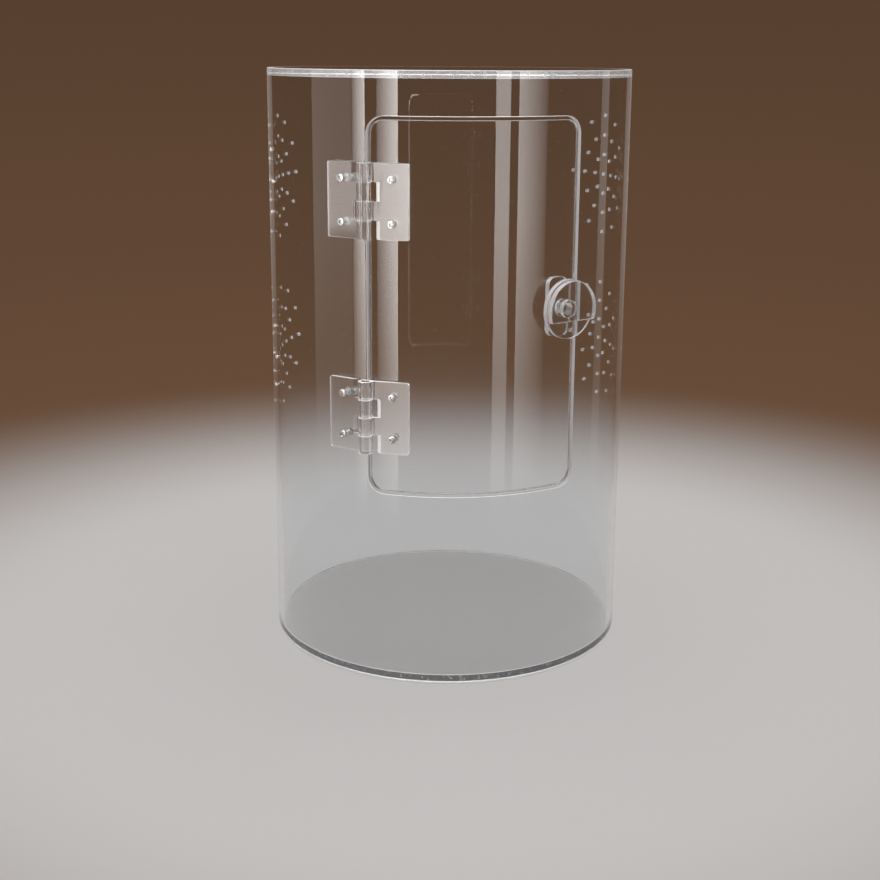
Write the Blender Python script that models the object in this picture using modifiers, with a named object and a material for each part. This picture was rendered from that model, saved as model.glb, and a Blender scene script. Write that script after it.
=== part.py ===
"""Round insect terrarium: a clear tube with a curved door, two pinned hinges and a turn latch.

Metres, +Z up. The origin is the centre of the base's underside, and the door faces -Y.
Places on the tube are an angle from -Y, positive towards +X, a distance from the tube's axis
and a height.
"""
import math

import bmesh
import bpy
from mathutils import Matrix, Vector

# Tube, base and top
TUBE_RADIUS = 0.100
TUBE_WALL = 0.003
TUBE_HEIGHT = 0.320
BASE_THICKNESS = 0.004
TOP_THICKNESS = 0.004
TUBE_FACETS = 96

# Clearances
SEAT_GAP = 0.0003
RUNNING_GAP = 0.0003
KNUCKLE_CLEARANCE = 0.0004
CUT_OVERRUN = 0.010
MERGE_SHARE = 0.00001

# Door, cut out of the tube's wall
DOOR_SPAN = math.radians(65.0)
DOOR_BOTTOM = 0.105
DOOR_TOP_INSET = 0.023
DOOR_CORNER = 0.008
SAW_KERF = 0.0015
CORNER_STEPS = 5

# Vent rosettes, drilled through the wall on both sides
VENT_ANGLE = math.radians(100.8)
VENT_TOP_INSET = 0.060
VENT_SPACING = 0.097
VENT_HOLE_RADIUS = 0.0010
VENT_RING_PITCH = 0.0112
VENT_RING_COUNTS = (8, 12, 12)
VENT_HOLE_FACETS = 6

# Hinges: two leaves of one shape, turned end for end, on one pin
HINGE_INSET = 0.0407
HINGE_LENGTH = 0.038
KNUCKLE_COUNT = 4
KNUCKLE_RADIUS = 0.00375
KNUCKLE_FACETS = 24
PIN_RADIUS = 0.0020
LEAF_THICKNESS = 0.002
LEAF_REACH = 0.023
LEAF_NOTCH = 0.0056

# Hinge screws and nuts
SCREW_REACH = 0.0137
SCREW_SPREAD = 0.022
SCREW_RADIUS = 0.0010
SCREW_LENGTH = 0.010
SCREW_HEAD_RADIUS = 0.0021
SCREW_HEAD_HEIGHT = 0.0013
SCREW_FACETS = 12
CROWN_STEPS = 3
SCREW_TURN = math.radians(23.0)
RECESS_LENGTH = 0.0022
RECESS_WIDTH = 0.0005
RECESS_DEPTH = 0.0007
NUT_FLATS = 0.004
NUT_HEIGHT = 0.0016

# Turn latch on the door's free side
LATCH_ANGLE = math.radians(27.5)
POST_RADIUS = 0.003
COLLAR_RADIUS = 0.00475
KNOB_STANDOFF = 0.003
KNOB_RADIUS = 0.0155
KNOB_THICKNESS = 0.003
GRIP_RADIUS = 0.0150
GRIP_THICKNESS = 0.003
GRIP_CHORD_DROP = 0.006
GRIP_STEPS = 32
CATCH_STANDOFF = 0.0018
CATCH_LENGTH = 0.031
CATCH_WIDTH = 0.012
CATCH_THICKNESS = 0.003
CATCH_CORNER = 0.004
CATCH_BOSS_RADIUS = 0.0045
EDGE_ROUND = 0.0004
LATCH_FACETS = 32

# Colours, roughness, metallic and alpha, as the object shows them
CLEAR_WALL = ((0.86, 0.89, 0.90), 0.04, 0.0, 0.25)
CLEAR_MOULDED = ((0.88, 0.90, 0.91), 0.08, 0.0, 0.40)
PLATED_STEEL = ((0.72, 0.72, 0.70), 0.25, 1.0, 1.0)

# Derived places
INNER_RADIUS = TUBE_RADIUS - TUBE_WALL
DOOR_TOP = TUBE_HEIGHT - DOOR_TOP_INSET
DOOR_HEIGHT = DOOR_TOP - DOOR_BOTTOM
DOOR_MIDDLE = (DOOR_TOP + DOOR_BOTTOM) / 2
HINGE_HEIGHTS = {"lower": DOOR_BOTTOM + HINGE_INSET, "upper": DOOR_TOP - HINGE_INSET}
LATCH_HEIGHT = DOOR_MIDDLE
UPPER_VENT = TUBE_HEIGHT - VENT_TOP_INSET
VENT_HEIGHTS = (UPPER_VENT - VENT_SPACING, UPPER_VENT)
HINGE_ANGLE = -DOOR_SPAN / 2
PIN_ORBIT = TUBE_RADIUS + KNUCKLE_RADIUS + KNUCKLE_CLEARANCE
SCREW_ANGLE = math.asin(SCREW_REACH / TUBE_RADIUS)
LEAF_SEAT = TUBE_RADIUS + SEAT_GAP
PIN_LIFT = PIN_ORBIT * math.cos(SCREW_ANGLE) - LEAF_SEAT
PIN_TO_SCREW = PIN_ORBIT * math.sin(SCREW_ANGLE)
HEAD_SEAT = LEAF_SEAT + LEAF_THICKNESS + SEAT_GAP
KNUCKLE_PITCH = HINGE_LENGTH / KNUCKLE_COUNT
MERGE_DISTANCE = TUBE_RADIUS * MERGE_SHARE


def clear_scene():
    """Remove every object that the file opened with."""
    for old in list(bpy.data.objects):
        bpy.data.objects.remove(old, do_unlink=True)


def new_collection(name):
    collection = bpy.data.collections.new(name)
    bpy.context.scene.collection.children.link(collection)
    return collection


clear_scene()
PARTS = new_collection("insect_terrarium")
CUTTERS = new_collection("cutters")


def dress(obj, finish):
    """Give a piece its own material."""
    color, roughness, metallic, alpha = finish
    material = bpy.data.materials.new(obj.name)
    material.use_nodes = True
    shader = material.node_tree.nodes["Principled BSDF"]
    shader.inputs["Base Color"].default_value = (*color, 1.0)
    shader.inputs["Roughness"].default_value = roughness
    shader.inputs["Metallic"].default_value = metallic
    shader.inputs["Alpha"].default_value = alpha
    material.diffuse_color = (*color, alpha)
    obj.data.materials.clear()
    obj.data.materials.append(material)


def add_object(name, data, collection):
    obj = bpy.data.objects.new(name, data)
    collection.objects.link(obj)
    return obj


def mesh_object(name, bm, collection=PARTS):
    """Turn a bmesh into an object and free it."""
    data = bpy.data.meshes.new(name)
    bm.to_mesh(data)
    bm.free()
    return add_object(name, data, collection)


def shade(obj):
    obj.data.shade_smooth()
    obj.data.set_sharp_from_angle(angle=math.radians(30.0))


def baked_mesh(obj):
    """The evaluated shape of an object as one welded mesh; the object is removed."""
    bpy.context.view_layer.update()
    graph = bpy.context.evaluated_depsgraph_get()
    data = bpy.data.meshes.new_from_object(obj.evaluated_get(graph))
    bm = bmesh.new()
    bm.from_mesh(data)
    bmesh.ops.remove_doubles(bm, verts=bm.verts, dist=MERGE_DISTANCE)
    bm.to_mesh(data)
    bm.free()
    bpy.data.objects.remove(obj, do_unlink=True)
    return data


def turned(name, profile, steps, closed=False, collection=PARTS):
    """A profile of (radius, height) points, run down its outer side, turned about Z."""
    bm = bmesh.new()
    verts = [bm.verts.new((radius, 0.0, height)) for radius, height in profile]
    for start, end in zip(verts, verts[1:]):
        bm.edges.new((start, end))
    if closed:
        bm.edges.new((verts[-1], verts[0]))
    obj = mesh_object(name, bm, collection)
    screw = obj.modifiers.new("turn", "SCREW")
    screw.axis = "Z"
    screw.angle = math.tau
    screw.steps = steps
    screw.render_steps = steps
    screw.use_merge_vertices = True
    screw.merge_threshold = MERGE_DISTANCE
    screw.use_smooth_shade = True
    return obj


def arc(center_x, center_y, radius, start, end, steps):
    """Points of an arc from start to end, both included."""
    points = []
    for index in range(steps + 1):
        angle = start + (end - start) * index / steps
        points.append((center_x + radius * math.cos(angle), center_y + radius * math.sin(angle)))
    return points


def rounded_rectangle(width, height, corner, steps=CORNER_STEPS):
    """Outline of a rectangle about its own centre, with round corners, anticlockwise."""
    x = width / 2 - corner
    y = height / 2 - corner
    quarter = math.pi / 2
    points = []
    for index, (sx, sy) in enumerate(((1, 1), (-1, 1), (-1, -1), (1, -1))):
        points += arc(sx * x, sy * y, corner, index * quarter, (index + 1) * quarter, steps)
    return points


def plate(name, points, thickness, collection=PARTS):
    """A flat plate in XY from an outline, its thickness centred on Z, as a welded mesh object."""
    curve = bpy.data.curves.new(name, "CURVE")
    curve.dimensions = "2D"
    curve.fill_mode = "BOTH"
    curve.extrude = thickness / 2
    spline = curve.splines.new("POLY")
    spline.points.add(len(points) - 1)
    for point, (x, y) in zip(spline.points, points):
        point.co = (x, y, 0.0, 1.0)
    spline.use_cyclic_u = True
    outline = add_object(name + "_outline", curve, CUTTERS)
    data = baked_mesh(outline)
    bpy.data.curves.remove(curve)
    return add_object(name, data, collection)


def round_edges(obj, width, segments=2):
    bevel = obj.modifiers.new("edge_round", "BEVEL")
    bevel.width = width
    bevel.segments = segments
    bevel.limit_method = "ANGLE"
    bevel.angle_limit = math.radians(40.0)


def combine(obj, other, operation):
    """Cut, join or intersect an object with a cutter, which stays in the cutters' collection."""
    boolean = obj.modifiers.new(operation.lower(), "BOOLEAN")
    boolean.operation = operation
    boolean.solver = "EXACT"
    boolean.object = other
    other.hide_render = True
    other.display_type = "WIRE"


def on_tube(angle, distance, height, roll=0.0):
    """Placement on the tube: local X runs round it, local Y up and local Z straight out."""
    turn = Matrix.Rotation(angle, 4, "Z")
    shift = Matrix.Translation((0.0, -distance, height))
    face = Matrix.Rotation(math.pi / 2, 4, "X")
    return turn @ shift @ face @ Matrix.Rotation(roll, 4, "Z")


def outward(angle):
    return Vector((math.sin(angle), -math.cos(angle), 0.0))


def add_rod(bm, radius, length, facets, placement):
    """Add a closed cylinder along the placement's local Z, centred on it."""
    bmesh.ops.create_cone(bm, cap_ends=True, segments=facets, radius1=radius, radius2=radius,
                          depth=length, matrix=placement)


def radial_holes(name, places, radius, facets):
    """One cutter of rods that point straight out through the wall at (angle, height) places."""
    bm = bmesh.new()
    for angle, height in places:
        middle = TUBE_RADIUS - TUBE_WALL / 2
        add_rod(bm, radius, TUBE_WALL + CUT_OVERRUN, facets, on_tube(angle, middle, height))
    return mesh_object(name, bm, CUTTERS)


def tube_shell(name, collection=PARTS):
    profile = [(TUBE_RADIUS, TUBE_HEIGHT), (TUBE_RADIUS, 0.0)]
    profile += [(INNER_RADIUS, 0.0), (INNER_RADIUS, TUBE_HEIGHT)]
    return turned(name, profile, TUBE_FACETS, closed=True, collection=collection)


def door_prism(name, margin):
    """A block with the door's outline grown by a margin, whose sides all point at the tube's axis.

    Its two ends are upright planes inside and outside the wall. The outline is drawn as
    (arc length, height) on the tube, so each end is that outline spread to the end's distance.
    """
    width = DOOR_SPAN * TUBE_RADIUS + 2 * margin
    height = DOOR_HEIGHT + 2 * margin
    outline = rounded_rectangle(width, height, DOOR_CORNER + margin)
    near = INNER_RADIUS * math.cos(DOOR_SPAN / 2) - CUT_OVERRUN
    far = TUBE_RADIUS + CUT_OVERRUN
    bm = bmesh.new()
    rings = []
    for depth in (near, far):
        ring = []
        for arc_length, offset in outline:
            side = depth * math.tan(arc_length / TUBE_RADIUS)
            ring.append(bm.verts.new((side, -depth, DOOR_MIDDLE + offset)))
        rings.append(ring)
    for index in range(len(outline)):
        following = (index + 1) % len(outline)
        bm.faces.new((rings[0][index], rings[0][following], rings[1][following], rings[1][index]))
    bm.faces.new(rings[0])
    bm.faces.new(rings[1])
    bmesh.ops.remove_doubles(bm, verts=bm.verts, dist=MERGE_DISTANCE)
    bmesh.ops.recalc_face_normals(bm, faces=bm.faces)
    return mesh_object(name, bm, CUTTERS)


def vent_places():
    """Angle and height of every vent hole: a centre hole and its rings, in each rosette."""
    places = []
    for side in (-1, 1):
        for height in VENT_HEIGHTS:
            places.append((side * VENT_ANGLE, height))
            for ring, count in enumerate(VENT_RING_COUNTS, start=1):
                reach = ring * VENT_RING_PITCH
                for index in range(count):
                    turn = math.tau * index / count
                    angle = side * VENT_ANGLE + reach * math.sin(turn) / TUBE_RADIUS
                    places.append((angle, height + reach * math.cos(turn)))
    return places


def screw_places(side):
    """Angle and height of the screws of both hinges on one side of the pins: -1 tube, 1 door."""
    places = []
    for height in HINGE_HEIGHTS.values():
        for end in (-1, 1):
            places.append((HINGE_ANGLE + side * SCREW_ANGLE, height + end * SCREW_SPREAD / 2))
    return places


def make_tube():
    wall = tube_shell("tube_wall")
    combine(wall, door_prism("door_opening", SAW_KERF / 2), "DIFFERENCE")
    vents = radial_holes("vent_drills", vent_places(), VENT_HOLE_RADIUS, VENT_HOLE_FACETS)
    combine(wall, vents, "DIFFERENCE")
    drill_radius = SCREW_RADIUS + RUNNING_GAP
    drills = radial_holes("tube_screw_drills", screw_places(-1), drill_radius, SCREW_FACETS)
    combine(wall, drills, "DIFFERENCE")
    dress(wall, CLEAR_WALL)
    disc_radius = INNER_RADIUS - SEAT_GAP
    for name, bottom, thickness in (
        ("base_disc", 0.0, BASE_THICKNESS),
        ("top_disc", TUBE_HEIGHT - TOP_THICKNESS, TOP_THICKNESS),
    ):
        profile = [(0.0, thickness), (disc_radius, thickness), (disc_radius, 0.0), (0.0, 0.0)]
        disc = turned(name, profile, TUBE_FACETS)
        disc.location = (0.0, 0.0, bottom)
        dress(disc, CLEAR_WALL)


def make_door(door_axis):
    door = tube_shell("door_panel")
    combine(door, door_prism("door_blank", -SAW_KERF / 2), "INTERSECT")
    drill_radius = SCREW_RADIUS + RUNNING_GAP
    drills = radial_holes("door_screw_drills", screw_places(1), drill_radius, SCREW_FACETS)
    combine(door, drills, "DIFFERENCE")
    post_place = [(LATCH_ANGLE, LATCH_HEIGHT)]
    post_hole = radial_holes("post_drill", post_place, POST_RADIUS + RUNNING_GAP, LATCH_FACETS)
    combine(door, post_hole, "DIFFERENCE")
    dress(door, CLEAR_WALL)
    hang(door, door_axis)


def hang(obj, parent):
    """Parent a piece to a joint's empty and leave it where it is."""
    bpy.context.view_layer.update()
    obj.parent = parent
    obj.matrix_parent_inverse = parent.matrix_world.inverted()


def leaf_outline():
    """Plate of one leaf: tongues reach the pin at every second knuckle, counted from the top."""
    half = HINGE_LENGTH / 2
    points = [(LEAF_REACH, -half), (LEAF_REACH, half)]
    for index in range(KNUCKLE_COUNT):
        top = half - index * KNUCKLE_PITCH
        bottom = top - KNUCKLE_PITCH
        is_tongue = index % 2 == 0
        depth = 0.0 if is_tongue else LEAF_NOTCH
        inset = SEAT_GAP / 2 if is_tongue else -SEAT_GAP / 2
        first = top if index == 0 else top - inset
        last = bottom if index == KNUCKLE_COUNT - 1 else bottom + inset
        points += [(depth, first), (depth, last)]
    return points


def leaf_mesh():
    """One hinge leaf about its pin: X along the plate, Y up the pin and Z away from the tube."""
    leaf = plate("leaf", leaf_outline(), LEAF_THICKNESS)
    leaf.data.transform(Matrix.Translation((0.0, 0.0, LEAF_THICKNESS / 2 - PIN_LIFT)))
    along_pin = Matrix.Rotation(math.pi / 2, 4, "X")
    knuckles = bmesh.new()
    for index in range(0, KNUCKLE_COUNT, 2):
        middle = HINGE_LENGTH / 2 - (index + 0.5) * KNUCKLE_PITCH
        place = Matrix.Translation((0.0, middle, 0.0)) @ along_pin
        add_rod(knuckles, KNUCKLE_RADIUS, KNUCKLE_PITCH - SEAT_GAP, KNUCKLE_FACETS, place)
    combine(leaf, mesh_object("knuckle_rods", knuckles, CUTTERS), "UNION")
    bores = bmesh.new()
    add_rod(bores, PIN_RADIUS + RUNNING_GAP, HINGE_LENGTH + CUT_OVERRUN, KNUCKLE_FACETS, along_pin)
    for end in (-1, 1):
        place = Matrix.Translation((PIN_TO_SCREW, end * SCREW_SPREAD / 2, -PIN_LIFT))
        add_rod(bores, SCREW_RADIUS + RUNNING_GAP, LEAF_THICKNESS + CUT_OVERRUN, SCREW_FACETS, place)
    combine(leaf, mesh_object("leaf_bores", bores, CUTTERS), "DIFFERENCE")
    return baked_mesh(leaf)


def screw_mesh():
    """A pan-head screw with a cross recess: its head sits on Z = 0 and its shank runs down."""
    crown = SCREW_HEAD_HEIGHT / 2
    profile = [(0.0, SCREW_HEAD_HEIGHT)]
    for index in range(CROWN_STEPS + 1):
        angle = math.pi / 2 * index / CROWN_STEPS
        reach = SCREW_HEAD_RADIUS - crown + crown * math.sin(angle)
        profile.append((reach, SCREW_HEAD_HEIGHT - crown + crown * math.cos(angle)))
    profile += [(SCREW_HEAD_RADIUS, 0.0), (SCREW_RADIUS, 0.0), (SCREW_RADIUS, -SCREW_LENGTH)]
    profile.append((0.0, -SCREW_LENGTH))
    screw = turned("screw", profile, SCREW_FACETS)
    size = Matrix.Diagonal((RECESS_LENGTH, RECESS_WIDTH, 2 * RECESS_DEPTH, 1.0))
    for turn in (0.0, math.pi / 2):
        place = Matrix.Translation((0.0, 0.0, SCREW_HEAD_HEIGHT)) @ Matrix.Rotation(turn, 4, "Z")
        combine(screw, bar("recess_bar", place @ size), "DIFFERENCE")
    return baked_mesh(screw)


def bar(name, placement):
    """A unit cube, placed and sized by one matrix, as a cutter."""
    bm = bmesh.new()
    bmesh.ops.create_cube(bm, size=1.0, matrix=placement)
    return mesh_object(name, bm, CUTTERS)


def nut_mesh():
    """A hexagon nut about Z, with a clearance bore in place of its thread."""
    bm = bmesh.new()
    corner = NUT_FLATS / 2 / math.cos(math.pi / 6)
    add_rod(bm, corner, NUT_HEIGHT, 6, Matrix.Identity(4))
    nut = mesh_object("nut", bm)
    bore = bmesh.new()
    bore_radius = SCREW_RADIUS + SEAT_GAP
    add_rod(bore, bore_radius, NUT_HEIGHT + CUT_OVERRUN, SCREW_FACETS, Matrix.Identity(4))
    combine(nut, mesh_object("nut_bore", bore, CUTTERS), "DIFFERENCE")
    return baked_mesh(nut)


def make_hinges(door_axis):
    leaf = leaf_mesh()
    screw = screw_mesh()
    nut = nut_mesh()
    for level, height in HINGE_HEIGHTS.items():
        pin_profile = [(0.0, HINGE_LENGTH / 2), (PIN_RADIUS, HINGE_LENGTH / 2)]
        pin_profile += [(PIN_RADIUS, -HINGE_LENGTH / 2), (0.0, -HINGE_LENGTH / 2)]
        pin = turned(f"{level}_hinge_pin", pin_profile, KNUCKLE_FACETS)
        pin.location = outward(HINGE_ANGLE) * PIN_ORBIT + Vector((0.0, 0.0, height))
        dress(pin, CLEAR_MOULDED)
        for side, owner, roll in ((-1, "tube", math.pi), (1, "door", 0.0)):
            pieces = [place_leaf(f"{level}_hinge_{owner}_leaf", leaf, side, height, roll)]
            angle = HINGE_ANGLE + side * SCREW_ANGLE
            for end, word in ((-1, "bottom"), (1, "top")):
                screw_height = height + end * SCREW_SPREAD / 2
                label = f"{level}_hinge_{owner}_{word}"
                head_place = on_tube(angle, HEAD_SEAT, screw_height, end * SCREW_TURN)
                head = add_copy(f"{label}_screw", screw, head_place)
                nut_middle = INNER_RADIUS - SEAT_GAP - NUT_HEIGHT / 2
                back = add_copy(f"{label}_nut", nut, on_tube(angle, nut_middle, screw_height))
                for fastener in (head, back):
                    dress(fastener, PLATED_STEEL)
                pieces += [head, back]
            if owner == "door":
                for piece in pieces:
                    hang(piece, door_axis)


def add_copy(name, data, placement):
    obj = add_object(name, data.copy(), PARTS)
    obj.matrix_world = placement
    shade(obj)
    return obj


def place_leaf(name, data, side, height, roll):
    """Hang a leaf on the pin, tilted so that its plate lies on the tube at its screws."""
    pin = outward(HINGE_ANGLE) * PIN_ORBIT + Vector((0.0, 0.0, height))
    tilt = on_tube(HINGE_ANGLE + side * SCREW_ANGLE, 0.0, 0.0, roll)
    leaf = add_copy(name, data, Matrix.Translation(pin) @ tilt)
    dress(leaf, CLEAR_MOULDED)
    return leaf


def make_latch(latch_axis):
    """Knob, grip, post and catch of the turn latch, all about the post's axis."""
    knob_back = TUBE_RADIUS + KNOB_STANDOFF
    grip_back = knob_back + KNOB_THICKNESS + SEAT_GAP
    catch_front = INNER_RADIUS - CATCH_STANDOFF
    catch_back = catch_front - CATCH_THICKNESS

    knob_profile = [(0.0, KNOB_THICKNESS), (KNOB_RADIUS, KNOB_THICKNESS)]
    knob_profile += [(KNOB_RADIUS, 0.0), (0.0, 0.0)]
    knob = turned("latch_knob", knob_profile, LATCH_FACETS)
    knob.matrix_world = on_tube(LATCH_ANGLE, knob_back, LATCH_HEIGHT)
    round_edges(knob, EDGE_ROUND)

    drop = math.asin(GRIP_CHORD_DROP / GRIP_RADIUS)
    grip_outline = arc(0.0, 0.0, GRIP_RADIUS, -drop, math.pi + drop, GRIP_STEPS)
    grip = plate("latch_grip", grip_outline, GRIP_THICKNESS)
    grip.matrix_world = on_tube(LATCH_ANGLE, grip_back + GRIP_THICKNESS / 2, LATCH_HEIGHT)
    round_edges(grip, EDGE_ROUND)

    collar_bottom = TUBE_RADIUS + SEAT_GAP
    collar_top = knob_back - SEAT_GAP
    post_profile = [(0.0, collar_top), (COLLAR_RADIUS, collar_top), (COLLAR_RADIUS, collar_bottom)]
    post_profile += [(POST_RADIUS, collar_bottom), (POST_RADIUS, catch_back), (0.0, catch_back)]
    post = turned("latch_post", post_profile, LATCH_FACETS)
    post.matrix_world = on_tube(LATCH_ANGLE, 0.0, LATCH_HEIGHT)

    catch_outline = rounded_rectangle(CATCH_WIDTH, CATCH_LENGTH, CATCH_CORNER)
    catch = plate("latch_catch", catch_outline, CATCH_THICKNESS)
    catch.matrix_world = on_tube(LATCH_ANGLE, catch_back + CATCH_THICKNESS / 2, LATCH_HEIGHT)
    boss_front = INNER_RADIUS - CATCH_BOSS_RADIUS ** 2 / INNER_RADIUS - SEAT_GAP
    boss = bmesh.new()
    boss_length = boss_front - catch_back
    add_rod(boss, CATCH_BOSS_RADIUS, boss_length, LATCH_FACETS, Matrix.Identity(4))
    boss_rod = mesh_object("catch_boss", boss, CUTTERS)
    boss_rod.matrix_world = on_tube(LATCH_ANGLE, catch_back + boss_length / 2, LATCH_HEIGHT)
    combine(catch, boss_rod, "UNION")
    post_place = [(LATCH_ANGLE, LATCH_HEIGHT)]
    socket = radial_holes("catch_socket", post_place, POST_RADIUS + SEAT_GAP, LATCH_FACETS)
    combine(catch, socket, "DIFFERENCE")

    for piece in (knob, grip, post, catch):
        dress(piece, CLEAR_MOULDED)
        hang(piece, latch_axis)


def main():
    door_axis = bpy.data.objects.new("door_axis", None)
    PARTS.objects.link(door_axis)
    door_axis.location = outward(HINGE_ANGLE) * PIN_ORBIT
    latch_axis = bpy.data.objects.new("latch_axis", None)
    PARTS.objects.link(latch_axis)
    latch_axis.matrix_world = on_tube(LATCH_ANGLE, TUBE_RADIUS, LATCH_HEIGHT)
    hang(latch_axis, door_axis)
    make_tube()
    make_door(door_axis)
    make_hinges(door_axis)
    make_latch(latch_axis)
    bpy.context.view_layer.update()


main()
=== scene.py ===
"""Looks of the round insect terrarium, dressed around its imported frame.

Metres, +Z up. The door faces -Y. An angle on the tube is measured from -Y and grows towards +X.
"""

import logging
import math
from collections.abc import Iterable, Sequence
from dataclasses import dataclass, field, replace
from enum import Enum

import bmesh
import bpy
from mathutils import Matrix, Vector


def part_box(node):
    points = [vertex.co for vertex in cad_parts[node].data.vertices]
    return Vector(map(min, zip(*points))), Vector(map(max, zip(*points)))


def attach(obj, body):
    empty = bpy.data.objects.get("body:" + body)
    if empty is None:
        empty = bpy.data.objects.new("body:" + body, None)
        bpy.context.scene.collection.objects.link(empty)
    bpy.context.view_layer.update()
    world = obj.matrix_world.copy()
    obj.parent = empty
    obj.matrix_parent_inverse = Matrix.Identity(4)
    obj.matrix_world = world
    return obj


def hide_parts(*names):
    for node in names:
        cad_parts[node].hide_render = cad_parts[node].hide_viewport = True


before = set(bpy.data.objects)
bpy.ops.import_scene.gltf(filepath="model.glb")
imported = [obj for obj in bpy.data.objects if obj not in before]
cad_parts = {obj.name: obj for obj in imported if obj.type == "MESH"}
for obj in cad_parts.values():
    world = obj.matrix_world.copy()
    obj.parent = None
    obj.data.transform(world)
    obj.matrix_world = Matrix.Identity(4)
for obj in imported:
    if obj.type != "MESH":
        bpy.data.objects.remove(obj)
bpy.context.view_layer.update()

LOG = logging.getLogger("terrarium")
Point2 = tuple[float, float]
Colour = tuple[float, float, float]
Row = Sequence[bmesh.types.BMVert]
WELD_DISTANCE = 1e-7
SMOOTH_ANGLE = math.radians(32.0)
EDGE_ANGLE = math.radians(40.0)
FLAT_WEIGHT = 50
BIT_RINGS = 6
HALF_TURN = math.pi
QUARTER_TURN = math.pi / 2
PIECES = "terrarium_pieces"


class Body(Enum):
    """The bodies that pieces ride on."""

    ENCLOSURE = "enclosure"
    DOOR = "door"
    LATCH = "latch"


class Slot(Enum):
    """The record's material slots."""

    TUBE = "tube_acrylic"
    DOOR = "door_acrylic"
    HINGE = "hinge_plastic"
    LATCH = "latch_acrylic"
    STEEL = "plated_steel"


class Level(Enum):
    """The two hinges."""

    LOWER = "lower"
    UPPER = "upper"


class Leaf(Enum):
    """The two leaves of a hinge, by the side of the pin that they lie on."""

    TUBE = -1
    DOOR = 1

    @property
    def owner(self) -> str:
        """The word for this leaf in node names."""
        return self.name.lower()

    @property
    def body(self) -> Body:
        """The body that the leaf and its fasteners ride on."""
        return Body.ENCLOSURE if self is Leaf.TUBE else Body.DOOR


class Socket:
    """An output socket that Python expressions can be written with."""

    def __init__(self, tree: bpy.types.NodeTree, output: bpy.types.NodeSocket | None) -> None:
        """Wrap one output of a node in a tree."""
        self.tree = tree
        self.output = output

    def math(self, operation: str, *operands: "Socket | float", swap: bool = False) -> "Socket":
        """Add a Math node.

        Args:
            operation: The Math node's operation.
            operands: The other operands, as sockets or numbers.
            swap: Whether this socket comes after the first operand.

        Returns:
            The Math node's output.
        """
        node = self.tree.nodes.new("ShaderNodeMath")
        node.operation = operation
        values = [self, *operands]
        if swap:
            values = [operands[0], self]
        for index, value in enumerate(values):
            if isinstance(value, Socket):
                self.tree.links.new(value.output, node.inputs[index])
            else:
                node.inputs[index].default_value = value
        return Socket(self.tree, node.outputs[0])

    def __add__(self, other: "Socket | float") -> "Socket":
        """Sum."""
        return self.math("ADD", other)

    __radd__ = __add__

    def __mul__(self, other: "Socket | float") -> "Socket":
        """Product."""
        return self.math("MULTIPLY", other)

    __rmul__ = __mul__

    def __sub__(self, other: "Socket | float") -> "Socket":
        """Difference."""
        return self.math("SUBTRACT", other)

    def __rsub__(self, other: float) -> "Socket":
        """Difference with this socket taken away."""
        return self.math("SUBTRACT", other, swap=True)

    def __truediv__(self, other: "Socket | float") -> "Socket":
        """Quotient."""
        return self.math("DIVIDE", other)

    def __neg__(self) -> "Socket":
        """The value with its sign turned."""
        return self.math("MULTIPLY", -1.0)

    def clamped(self) -> "Socket":
        """The value kept between 0 and 1."""
        return self.math("MINIMUM", 1.0).math("MAXIMUM", 0.0)


class Tree:
    """A node tree that nodes are added to by one method."""

    def __init__(self, tree: bpy.types.NodeTree) -> None:
        """Wrap a tree and empty it."""
        self.tree = tree
        tree.nodes.clear()

    def node(
        self,
        kind: str,
        settings: dict | None = None,
        sockets: dict | None = None,
        output: int | str = 0,
    ) -> Socket:
        """Add a node of any type.

        Args:
            kind: The node's type.
            settings: Its own settings, set first.
            sockets: The value or link of each input, by name or number. A list joins several links.
            output: The output to return, by name or number.

        Returns:
            The chosen output.
        """
        node = self.tree.nodes.new(kind)
        for name, value in (settings or {}).items():
            setattr(node, name, value)
        for key, value in (sockets or {}).items():
            values = value if isinstance(value, list) else [value]
            for each in values:
                if isinstance(each, Socket):
                    self.tree.links.new(each.output, node.inputs[key])
                else:
                    node.inputs[key].default_value = each
        return Socket(self.tree, node.outputs[output] if len(node.outputs) else None)

    def split(self, vector: Socket) -> tuple[Socket, ...]:
        """The X and the Y of a vector."""
        return tuple(self.node("ShaderNodeSeparateXYZ", sockets={0: vector}, output=axis) for axis in "XY")

    def vector(self, **parts: Socket | float) -> Socket:
        """A vector from its X, Y and Z, each zero where it is left out."""
        return self.node("ShaderNodeCombineXYZ", sockets=parts)


class MaterialTree(Tree):
    """The node tree of one material."""

    def __init__(self, name: str) -> None:
        """Make a material with an empty tree."""
        self.material = bpy.data.materials.new(name)
        self.material.use_nodes = True
        super().__init__(self.material.node_tree)

    def place(self, scale: Sequence[float] = (1.0, 1.0, 1.0)) -> Socket:
        """Object coordinates, stretched by a scale along each axis."""
        coordinates = self.node("ShaderNodeTexCoord", output="Object")
        return self.node("ShaderNodeMapping", sockets={"Vector": coordinates, "Scale": tuple(scale)})

    def noise(self, place: Socket, scale: float, detail: float = 3.0, roughness: float = 0.5) -> Socket:
        """Fractal noise between 0 and 1 at a number of cells per metre."""
        sockets = {"Vector": place, "Scale": scale, "Detail": detail, "Roughness": roughness}
        return self.node("ShaderNodeTexNoise", sockets=sockets)

    def bump(self, height: Socket, distance: float) -> Socket:
        """A normal from a height between 0 and 1 that stands for a real distance."""
        return self.node("ShaderNodeBump", sockets={"Height": height, "Distance": distance})

    def blend(self, factor: Socket, first: Colour, second: Colour) -> Socket:
        """A colour between two others."""
        sockets = {0: factor, 6: (*first, 1.0), 7: (*second, 1.0)}
        return self.node("ShaderNodeMix", {"data_type": "RGBA"}, sockets, output=2)

    def end(self, shader: Socket) -> bpy.types.Material:
        """Join a shader to the output and give the material back."""
        self.node("ShaderNodeOutputMaterial", sockets={"Surface": shader})
        return self.material


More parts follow.
